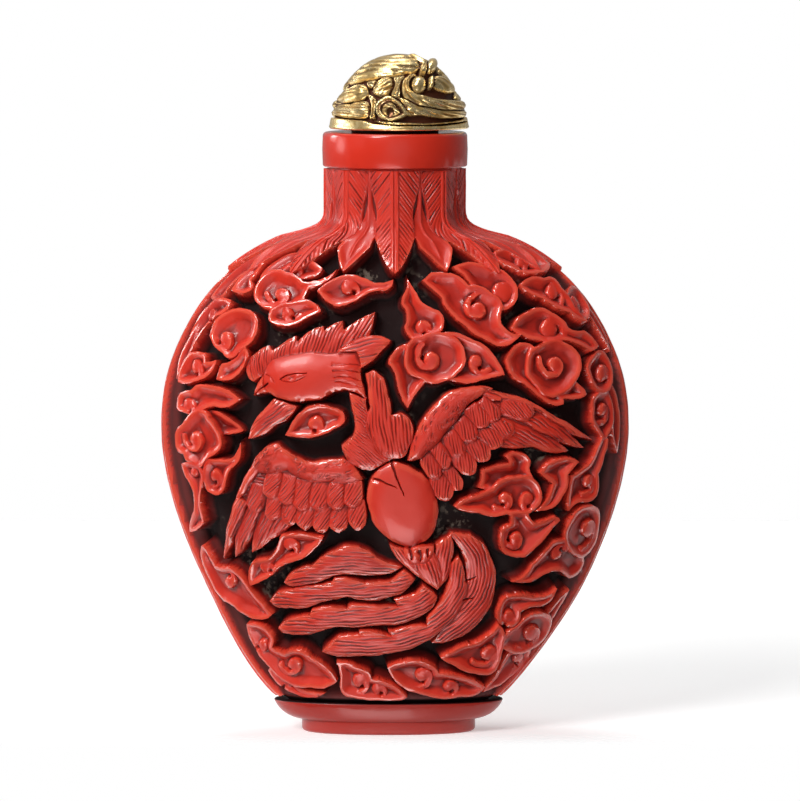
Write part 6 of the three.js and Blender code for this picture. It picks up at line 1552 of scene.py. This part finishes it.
@dataclass
class StopperCap:
    """The gilt dome, chased with a ribbed fan, waves, bosses and leaves."""

    tall: float = 7.5
    relief: float = 0.95
    edge: float = 0.12
    blend: float = 0.6
    columns: int = 820
    rows: int = 380
    triangles: int = 120000

    def chased(self, x: np.ndarray, z: np.ndarray, shapes: list[Feather]) -> Field:
        """The chasing of one side.

        Args:
            x: coordinates across.
            z: heights above the cap's foot.
            shapes: what is chased, from the back of the relief to its front.

        Returns:
            The flat layout, with its heights and marks.
        """
        flat = Field(x, z, np.full(x.shape, -self.relief))
        for shape in shapes:
            shape.carve(flat)
        return flat

    def build(self) -> bpy.types.Object:
        """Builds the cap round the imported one's place and size."""
        low, high = (np.array(corner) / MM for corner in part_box("stopper_cap"))
        middle = (low + high) / 2
        radius = (high[0] - low[0]) / 2
        angle = 2 * np.pi * np.arange(self.columns) / self.columns
        around = np.stack([np.cos(angle), np.sin(angle), np.zeros_like(angle)], axis=-1)
        rise = (np.pi / 2) * (np.arange(self.rows) / self.rows)[:, None, None]
        points = around * radius * np.cos(rise)
        points[..., 2] = self.edge + (self.tall - self.edge) * np.sin(rise[..., 0])
        outward = around * np.cos(rise)
        outward[..., 2] = np.sin(rise[..., 0])
        x, y, z = points[..., 0], points[..., 1], points[..., 2]
        behind = ease(-self.blend, self.blend, y)
        plain = next(i for i, shape in enumerate(CAP_SHAPES) if shape.name == CAP_KNOB)
        front, back = self.chased(x, z, CAP_SHAPES), self.chased(-x, z, CAP_SHAPES[:plain])
        height = front.height * (1 - behind) + back.height * behind
        height *= ease(0, 3 * self.edge, z - self.edge)
        depth = np.clip(-height / self.relief, 0, 1)
        cavity = cavity_mark(height, 5, 8)
        rings = Rings()
        base = Vector((middle[0], 0, low[2]))
        rings.add(around * (radius - self.edge) + np.array(base))
        dome = points + outward * height[..., None] + np.array(base)
        marks = [
            np.where(y < 0, getattr(front, name), getattr(back, name)) for name in MARKS[2:]
        ]
        rings.add(dome, np.stack([depth, cavity, *marks], axis=-1))
        top = Vector(dome[-1].mean(axis=0))
        piece = rings.mesh("gilt_cap", base, top, self.triangles)
        piece.data.materials.append(Gilt().material())
        return piece


@dataclass
class StopperPlug:
    """The dark plug: a shoulder disc that shows under the cap, and a tapered stem in the mouth."""

    stem_radius: float = 3.0
    stem_end_radius: float = 2.75
    stem_rounding: float = 0.5
    bevel: float = 0.05
    sides: int = 96
    triangles: int = 10**6

    def build(self) -> bpy.types.Object:
        """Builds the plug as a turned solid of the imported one's height and width."""
        low, high = (np.array(corner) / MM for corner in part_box("stopper_plug"))
        lip = float(np.array(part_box("bottle")[1])[2]) / MM
        shoulder = (high[0] - low[0]) / 2
        end, bevel = self.stem_rounding, self.bevel
        outline = [
            (self.stem_end_radius - end, low[2]),
            (self.stem_end_radius - 0.3 * end, low[2] + 0.24 * end),
            (self.stem_end_radius, low[2] + end),
            (self.stem_radius, lip - 4 * bevel),
            (self.stem_radius, lip),
            (shoulder - bevel, lip),
            (shoulder, lip + bevel),
            (shoulder, high[2] - bevel),
            (shoulder - bevel, high[2]),
        ]
        angle = 2 * np.pi * np.arange(self.sides) / self.sides
        around = np.stack([np.cos(angle), np.sin(angle), np.zeros_like(angle)], axis=-1)
        rings = Rings()
        for radius, z in outline:
            rings.add(around * radius + np.array([0, 0, z]))
        poles = (Vector((0, 0, low[2])), Vector((0, 0, high[2])))
        piece = rings.mesh("dark_plug", *poles, self.triangles)
        piece.data.materials.append(Plug().material())
        return piece


# ------------------------------------------------------------------ finishes
Colour = tuple[float, float, float]
Range = tuple[float, float]


class Value:
    """A number output of a shader node, with arithmetic that adds Math nodes."""

    def __init__(self, finish: "Nodes", socket: bpy.types.NodeSocket) -> None:
        """Keeps the socket and the nodes it belongs to."""
        self.finish = finish
        self.socket = socket

    def _math(self, operation: str, *values: "Value | float") -> "Value":
        """A Math node on this value and others."""
        node = self.finish.node(
            "ShaderNodeMath", {"operation": operation}, {i: v for i, v in enumerate(values)}
        )
        return Value(self.finish, node.outputs[0])

    def __add__(self, other: "Value | float") -> "Value":
        """self + other."""
        return self._math("ADD", self, other)

    def __radd__(self, other: float) -> "Value":
        """other + self."""
        return self._math("ADD", other, self)

    def __sub__(self, other: "Value | float") -> "Value":
        """self - other."""
        return self._math("SUBTRACT", self, other)

    def __rsub__(self, other: float) -> "Value":
        """other - self."""
        return self._math("SUBTRACT", other, self)

    def __mul__(self, other: "Value | float") -> "Value":
        """self * other."""
        return self._math("MULTIPLY", self, other)

    def __rmul__(self, other: float) -> "Value":
        """other * self."""
        return self._math("MULTIPLY", other, self)

    def cut(self, share: float) -> "Value":
        """V-shaped cuts, one per unit: 1 at a cut's bottom and 0 between cuts."""
        off = self._math("FRACT", self) - 0.5
        return (1.0 - self._math("ABSOLUTE", off) * (2.0 / share)).held()

    def held(self) -> "Value":
        """The value held between 0 and 1."""
        return self._math("MINIMUM", self._math("MAXIMUM", self, 0.0), 1.0)

    def step(self, low: float, high: float) -> "Value":
        """Smooth step of this value from 0 at low to 1 at high."""
        settings = {"interpolation_type": "SMOOTHSTEP"}
        inputs = {"Value": self, "From Min": low, "From Max": high, "To Min": 0.0, "To Max": 1.0}
        return Value(self.finish, self.finish.node("ShaderNodeMapRange", settings, inputs).outputs[0])


class Nodes:
    """A node tree that is filled through one method."""

    def __init__(self, tree: bpy.types.NodeTree) -> None:
        """Keeps the tree."""
        self.tree = tree

    def node(self, kind: str, settings: dict, inputs: dict) -> bpy.types.Node:
        """Adds a node.

        Args:
            kind: its Blender type.
            settings: attributes that are set first, such as an operation.
            inputs: values or links of its sockets, by name or number.

        Returns:
            The node.
        """
        node = self.tree.nodes.new(kind)
        for key, value in settings.items():
            setattr(node, key, value)
        for key, value in inputs.items():
            self.feed(node.inputs[key], value)
        return node

    def feed(self, socket: bpy.types.NodeSocket, value: object) -> None:
        """Links a value's socket, or sets a plain number or colour."""
        source = getattr(value, "socket", value)
        if isinstance(source, bpy.types.NodeSocket):
            self.tree.links.new(source, socket)
        else:
            socket.default_value = source

    def place(self, output: str, axis: str) -> Value:
        """One coordinate: of the object in metres, or of a direction when it is Generated."""
        place = self.node("ShaderNodeTexCoord", {}, {}).outputs[output]
        return Value(self, self.node("ShaderNodeSeparateXYZ", {}, {0: place}).outputs[axis])


class Shader(Nodes):
    """The nodes of a material."""

    def __init__(self, name: str) -> None:
        """Makes an empty material with its Principled shader."""
        self.material = bpy.data.materials.new(name)
        self.material.use_nodes = True
        super().__init__(self.material.node_tree)
        self.surface = self.tree.nodes["Principled BSDF"]

    def mark(self, name: str) -> Value:
        """A number that the mesh carries at its points."""
        node = self.node("ShaderNodeAttribute", {"attribute_name": name}, {})
        return Value(self, node.outputs["Fac"])

    def over(self, axis: str, start: float, end: float) -> Value:
        """Mask that goes from 0 to 1 between two places along an axis, in millimetres."""
        return self.place("Object", axis).step(start * MM, end * MM)

    def noise(self, scale: float, detail: float = 3.0, roughness: float = 0.55) -> Value:
        """Fractal noise in the object's own space, scale in waves per metre."""
        place = self.node("ShaderNodeTexCoord", {}, {}).outputs["Object"]
        inputs = {"Vector": place, "Scale": scale, "Detail": detail, "Roughness": roughness}
        return Value(self, self.node("ShaderNodeTexNoise", {}, inputs).outputs["Fac"])

    def blend(self, low: object, high: object, factor: Value | float) -> bpy.types.NodeSocket:
        """Mixes two colours.

        Args:
            low: the colour, or colour socket, at factor 0.
            high: the one at factor 1.
            factor: the share of high.

        Returns:
            The mixed colour's socket.
        """
        node = self.node("ShaderNodeMix", {"data_type": "RGBA"}, {})
        self.feed(node.inputs["Factor"], factor)
        for socket, colour in zip((node.inputs[6], node.inputs[7]), (low, high)):
            self.feed(socket, (*colour, 1.0) if isinstance(colour, tuple) else colour)
        return node.outputs[2]

    def bump(self, height: Value, strength: float, distance: float) -> bpy.types.NodeSocket:
        """A bumped normal from a height in units of distance (metres)."""
        inputs = {"Height": height, "Strength": strength, "Distance": distance}
        return self.node("ShaderNodeBump", {}, inputs).outputs["Normal"]

    def set(self, **inputs: object) -> None:
        """Feeds the Principled shader; underscores in the names stand for spaces."""
        for key, value in inputs.items():
            if isinstance(value, tuple) and len(value) == 3:
                value = (*value, 1.0)
            self.feed(self.surface.inputs[key.replace("_", " ")], value)


@dataclass(frozen=True)
class Lacquer:
    """Carved cinnabar lacquer: polished tops, dull walls, and old dust in the ground, which is painted
    near black as shade.
    """

    top: Colour = (0.64, 0.03, 0.014)
    deep: Colour = (0.33, 0.011, 0.007)
    # painted highlight: a lighter red for the arrises
    arris: Colour = (0.78, 0.09, 0.05)
    wall: Colour = (0.085, 0.006, 0.005)
    crease: Colour = (0.14, 0.008, 0.006)
    cut: Colour = (0.05, 0.003, 0.003)
    # painted shade of the foot and flange
    foot_shade: Colour = (0.29, 0.017, 0.011)
    # painted shade of the ground, also used for the seat
    ground: Colour = (0.012, 0.004, 0.004)
    dust: Colour = (0.15, 0.115, 0.09)
    polish: float = 0.38
    dull: float = 0.62
    gloss: float = 0.85
    coat_roughness: float = 0.09
    # where each tone starts and where it is whole, on the marks
    deepening: Range = (0.05, 0.5)
    # the arris mask's range, which drives the painted highlight on the arrises
    wear_and_highlight: Range = (0.06, 0.4)
    walled: Range = (0.38, 0.85)
    grounded: Range = (0.6, 0.92)
    creased: Range = (0.06, 0.3)
    crevice: Range = (0.34, 0.5)
    scored: Range = (0.1, 0.7)
    dust_depth: Range = (0.45, 0.75)
    # the same on noise
    dust_grains: Range = (0.5, 0.62)
    dust_patches: Range = (0.53, 0.63)
    # knife cuts, the bump's strength and distance, and heights of the plain bands
    cut_share: float = 0.7
    bump: Range = (0.65, 0.00011)
    foot_top: float = 3.3
    lip_bottom: float = CarvedBottle.lip_bottom
    lip_top: float = CarvedBottle.lip_top

    def bands(self, paint: Shader) -> tuple[Value, Value, Value, Value]:
        """Masks of the bands that have no carving.

        Args:
            paint: the material's nodes.

        Returns:
            The foot with its flange, the shaded seat over it, the lip, and the lip's top edge.
        """
        foot = paint.over("Z", self.foot_top + 0.3, self.foot_top)
        seat = paint.over("Z", self.foot_top - 0.2, self.foot_top - 0.1)
        seat = seat * paint.over("Z", self.foot_top + 0.4, self.foot_top + 0.3)
        lip = paint.over("Z", self.lip_bottom - 0.3, self.lip_bottom)
        rim = paint.over("Z", self.lip_top - 0.5, self.lip_top - 0.2)
        return foot, seat, lip, rim

    def dusty(self, paint: Shader, depth: Value, fine: Value) -> Value:
        """Mask of the dust, which lies in patches of grains where the relief is deep.

        Args:
            paint: the material's nodes.
            depth: how deep the relief is.
            fine: fine noise.

        Returns:
            The mask.
        """
        grains = paint.noise(1500.0, 6.0).step(*self.dust_grains)
        patches = paint.noise(150.0).step(*self.dust_patches)
        return grains * patches * (depth + (fine - 0.5) * 0.2).step(*self.dust_depth)

    def material(self) -> bpy.types.Material:
        """The lacquer's node material."""
        paint = Shader("cinnabar_lacquer")
        depth, cavity, open_ground, stroke, press = (paint.mark(mark) for mark in MARKS)
        foot, seat, lip, rim = self.bands(paint)
        broad, patchy, fine = paint.noise(120.0), paint.noise(450.0), paint.noise(4200.0, 2.0)

        # the tops, darker with depth as painted shade and darker in random patches, lightened on the
        # arrises as a painted highlight, then painted shade down the walls to the ground
        shade = (depth + (broad - 0.5) * 0.5 + (patchy - 0.5) * 0.3).step(*self.deepening)
        edges = (cavity - EVEN).step(*self.wear_and_highlight) * 0.8
        walls = (open_ground + (patchy - 0.5) * 0.2).step(*self.walled)
        floor = (depth + (patchy - 0.5) * 0.2).step(*self.grounded)
        # painted shade: the colour darkens with depth in the relief, plus random darker patches
        colour = paint.blend(self.top, self.deep, shade)
        # painted highlight: the arrises are lightened in the colour itself
        colour = paint.blend(colour, self.arris, edges * (1.0 - open_ground))
        # painted shade: the walls of the motifs are darkened
        colour = paint.blend(colour, self.wall, walls)
        # painted shade: the ground between the motifs is near black
        colour = paint.blend(colour, self.ground, floor)

        # creases and knife cuts, darkened as painted shade, except where the painted shade of the ground
        # covers them
        cuts = stroke.cut(self.cut_share) * press
        creases = (EVEN - cavity).step(*self.creased) * 0.75
        scored = cuts.step(*self.scored) * 0.7 + (EVEN - cavity).step(*self.crevice) * 0.3
        # painted shade in the creases
        colour = paint.blend(colour, self.crease, creases * (1.0 - floor))
        # painted shade in the knife cuts and crevices
        colour = paint.blend(colour, self.cut, scored * (1.0 - floor))

        # the foot and flange darkened as painted shade, the seat over it painted in shade, and dust
        dusty = self.dusty(paint, depth, fine)
        # painted shade: the foot and flange are darkened
        colour = paint.blend(colour, self.foot_shade, foot * 0.9)
        # painted shade: the seat over the flange takes the ground's dark colour
        colour = paint.blend(colour, self.ground, seat)
        colour = paint.blend(colour, self.dust, dusty)

        rough = self.polish + (self.dull - self.polish) * walls + floor * 0.35 + seat * 0.3
        rough = rough - edges * 0.22 - lip * 0.14 - foot * 0.06
        sheen = edges * 1.2 + foot * 0.15 + rim + 0.14 - lip * 0.12
        ripple = patchy * 0.5 + fine * 0.08 + dusty * 0.5 - cuts
        paint.set(
            Base_Color=colour,
            Roughness=rough + (broad - 0.5) * 0.12,
            Normal=paint.bump(ripple, *self.bump),
            IOR=1.45,
            Coat_Weight=sheen * (1.0 - walls) * (1.0 - seat) * self.gloss,
            Coat_Roughness=self.coat_roughness,
        )
        return paint.material


@dataclass(frozen=True)
class Gilt:
    """Gilt metal, bright on the high parts and brown in the recesses."""

    bright: Colour = (1.0, 0.78, 0.4)
    wear_and_highlight: Colour = (0.85, 0.58, 0.22)
    tarnish: Colour = (0.3, 0.13, 0.03)
    brown: Colour = (0.08, 0.02, 0.008)
    wear: Range = (0.42, 0.6)
    hiding: Range = (0.6, 1.0)
    creased: Range = (0.02, 0.14)
    specked: Range = (0.58, 0.7)
    cut_share: float = 0.8
    bump: Range = (0.9, 0.00018)

    def material(self) -> bpy.types.Material:
        """The gilt's node material."""
        metal = Shader("chased_gilt")
        depth, cavity, open_ground, stroke, press = (metal.mark(mark) for mark in MARKS)
        patchy, fine = metal.noise(700.0), metal.noise(2600.0, 3.0)
        hidden = (open_ground * 0.7 + (patchy - 0.5) * 0.5 + depth * 0.5).step(*self.hiding)
        cuts = stroke.cut(self.cut_share) * press
        creases = (EVEN - cavity).step(*self.creased) * 0.95
        specks = metal.noise(2600.0, 4.0).step(*self.specked) * 0.28
        colour = metal.blend(self.bright, self.wear_and_highlight, (patchy * 0.6 + fine * 0.4).step(*self.wear))
        colour = metal.blend(colour, self.tarnish, cuts * 0.8 + (1.0 - cuts) * specks)
        colour = metal.blend(colour, self.brown, creases)
        colour = metal.blend(colour, self.brown, hidden)
        ripple = patchy * 0.4 + fine * 0.05 - cuts * 1.1
        metal.set(
            Base_Color=colour,
            Metallic=0.82 - hidden * 0.4,
            Roughness=0.21 + patchy * 0.14 + hidden * 0.35,
            Normal=metal.bump(ripple, *self.bump),
        )
        return metal.material


@dataclass(frozen=True)
class Plug:
    """Dark, dull plug."""

    colour: Colour = (0.012, 0.009, 0.008)
    grain: Colour = (0.03, 0.02, 0.015)

    def material(self) -> bpy.types.Material:
        """The plug's node material."""
        cork = Shader("dark_plug")
        grain = cork.noise(900.0)
        colour = cork.blend(self.colour, self.grain, grain.step(0.45, 0.7))
        cork.set(Base_Color=colour, Roughness=0.55 + grain * 0.2, Normal=cork.bump(grain, 0.2, 0.0001))
        return cork.material


# ------------------------------------------------------------------ studio
class Role(Enum):
    """What a lamp does for the surfaces."""

    SOFT = "lights them without being mirrored"
    GLINT = "is only mirrored"
    BOTH = "lights them and is mirrored"


@dataclass(frozen=True)
class Lamp:
    """A square lamp aimed at the bottle's middle: place and side in millimetres, power in watts."""

    name: str
    place: tuple[float, float, float]
    side: float
    power: float
    role: Role
    aim: tuple[float, float, float] = (0.0, 0.0, 30.0)

    def light(self) -> None:
        """Puts the lamp up."""
        data = bpy.data.lights.new(self.name, "AREA")
        data.size = self.side * MM
        data.energy = self.power
        lamp = bpy.data.objects.new(self.name, data)
        lamp.location = Vector(self.place) * MM
        lamp.visible_glossy = self.role is not Role.SOFT
        lamp.visible_diffuse = self.role is not Role.GLINT
        aim = Vector(self.aim) * MM
        lamp.rotation_euler = (aim - lamp.location).to_track_quat("-Z", "Y").to_euler()
        bpy.context.scene.collection.objects.link(lamp)


LAMPS = (
    Lamp("key", (-310, -540, 400), 260, 3.8, Role.SOFT),
    Lamp("front", (40, -720, 90), 420, 1.4, Role.SOFT),
    Lamp("side", (-560, -330, 240), 300, 1.1, Role.SOFT),
    Lamp("key glint", (-330, -470, 530), 180, 2.9, Role.GLINT),
    Lamp("table glint", (-60, -470, -400), 340, 2.2, Role.GLINT),
    Lamp("side glint", (-620, 60, 100), 160, 0.4, Role.GLINT),
    Lamp("high glint", (-160, -260, 720), 120, 1.4, Role.GLINT),
    Lamp("rim", (-520, 260, 220), 160, 0.7, Role.BOTH),
    Lamp("top", (-40, 160, 700), 380, 1.9, Role.BOTH),
)


@dataclass
class Studio:
    """Pale floor sheet, soft lights and the camera."""

    eye: tuple[float, float, float] = (0.5, -700.0, 88.0)
    aim: tuple[float, float, float] = (0.5, 0.0, 33.1)
    view_width: float = 80.0
    sensor: float = 36.0
    glow: float = 0.36
    fade: tuple[float, float] = (-13.0, -3.0)
    sheet: tuple[float, float, float, float] = (-150.0, -30.0, 220.0, 220.0)
    surround: tuple[float, float, float, float] = (-0.4, 0.8, 0.05, 0.3)

    def camera(self) -> None:
        """A long lens, slightly above the bottle's middle."""
        data = bpy.data.cameras.new("camera")
        camera = bpy.data.objects.new("camera", data)
        bpy.context.scene.collection.objects.link(camera)
        eye, aim = Vector(self.eye) * MM, Vector(self.aim) * MM
        camera.location = eye
        camera.rotation_euler = (aim - eye).to_track_quat("-Z", "Y").to_euler()
        data.sensor_width = self.sensor
        data.lens = self.sensor * (aim - eye).length / (self.view_width * MM)
        data.clip_start = 0.01
        bpy.context.scene.camera = camera

    def floor(self) -> None:
        """A pale sheet under the bottle, which thins out into the white surround in front."""
        left, front, right, back = (v * MM for v in self.sheet)
        points = [(left, front, 0), (right, front, 0), (right, back, 0), (left, back, 0)]
        mesh = bpy.data.meshes.new("floor")
        mesh.from_pydata(points, [], [(0, 1, 2, 3)])
        floor = bpy.data.objects.new("floor", mesh)
        bpy.context.scene.collection.objects.link(floor)
        paper = Shader("white_paper")
        tone = paper.noise(3.0).step(0.3, 0.7)
        colour = paper.blend((0.84, 0.84, 0.84), (0.86, 0.86, 0.86), tone)
        paper.set(Base_Color=colour, Roughness=0.9, Specular_IOR_Level=0.1)
        paper.set(Emission_Color=(1.0, 1.0, 1.0), Emission_Strength=self.glow)
        paper.set(Alpha=paper.over("Y", *self.fade))
        floor.data.materials.append(paper.material)

    def surround_light(self) -> None:
        """White behind the bottle and to the eye, dark before it, and plain tones."""
        world = bpy.data.worlds.new("surround")
        bpy.context.scene.world = world
        world.use_nodes = True
        sky = Nodes(world.node_tree)
        ends = dict(zip(("From Min", "From Max", "To Min", "To Max"), self.surround))
        inputs = {"Value": sky.place("Generated", "Y"), **ends}
        ramp = sky.node("ShaderNodeMapRange", {"interpolation_type": "SMOOTHSTEP"}, inputs)
        eye = sky.node("ShaderNodeLightPath", {}, {}).outputs["Is Camera Ray"]
        white = sky.node("ShaderNodeMath", {"operation": "MAXIMUM"}, {0: eye, 1: ramp.outputs[0]})
        background = sky.tree.nodes["Background"]
        sky.feed(background.inputs["Strength"], white.outputs[0])
        sky.feed(background.inputs["Color"], (1.0, 1.0, 1.0, 1.0))
        bpy.context.scene.view_settings.view_transform = "Standard"

    def build(self) -> None:
        """Sets the camera, the floor and the lights."""
        self.camera()
        self.floor()
        for lamp in LAMPS:
            lamp.light()
        self.surround_light()


def main() -> None:
    """Builds every piece in order and sets it on its body."""
    Studio().build()
    pieces = (
        (CarvedBottle(), "bottle", "lacquer"),
        (StopperPlug(), "stopper_plug", "plug"),
        (StopperCap(), "stopper_cap", "gilt"),
    )
    for maker, node, slot in pieces:
        piece = maker.build()
        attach(piece, "root")
        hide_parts(node)
        log.info("%s: %d faces", piece.name, len(piece.data.polygons))


if __name__ == "__main__":
    main()
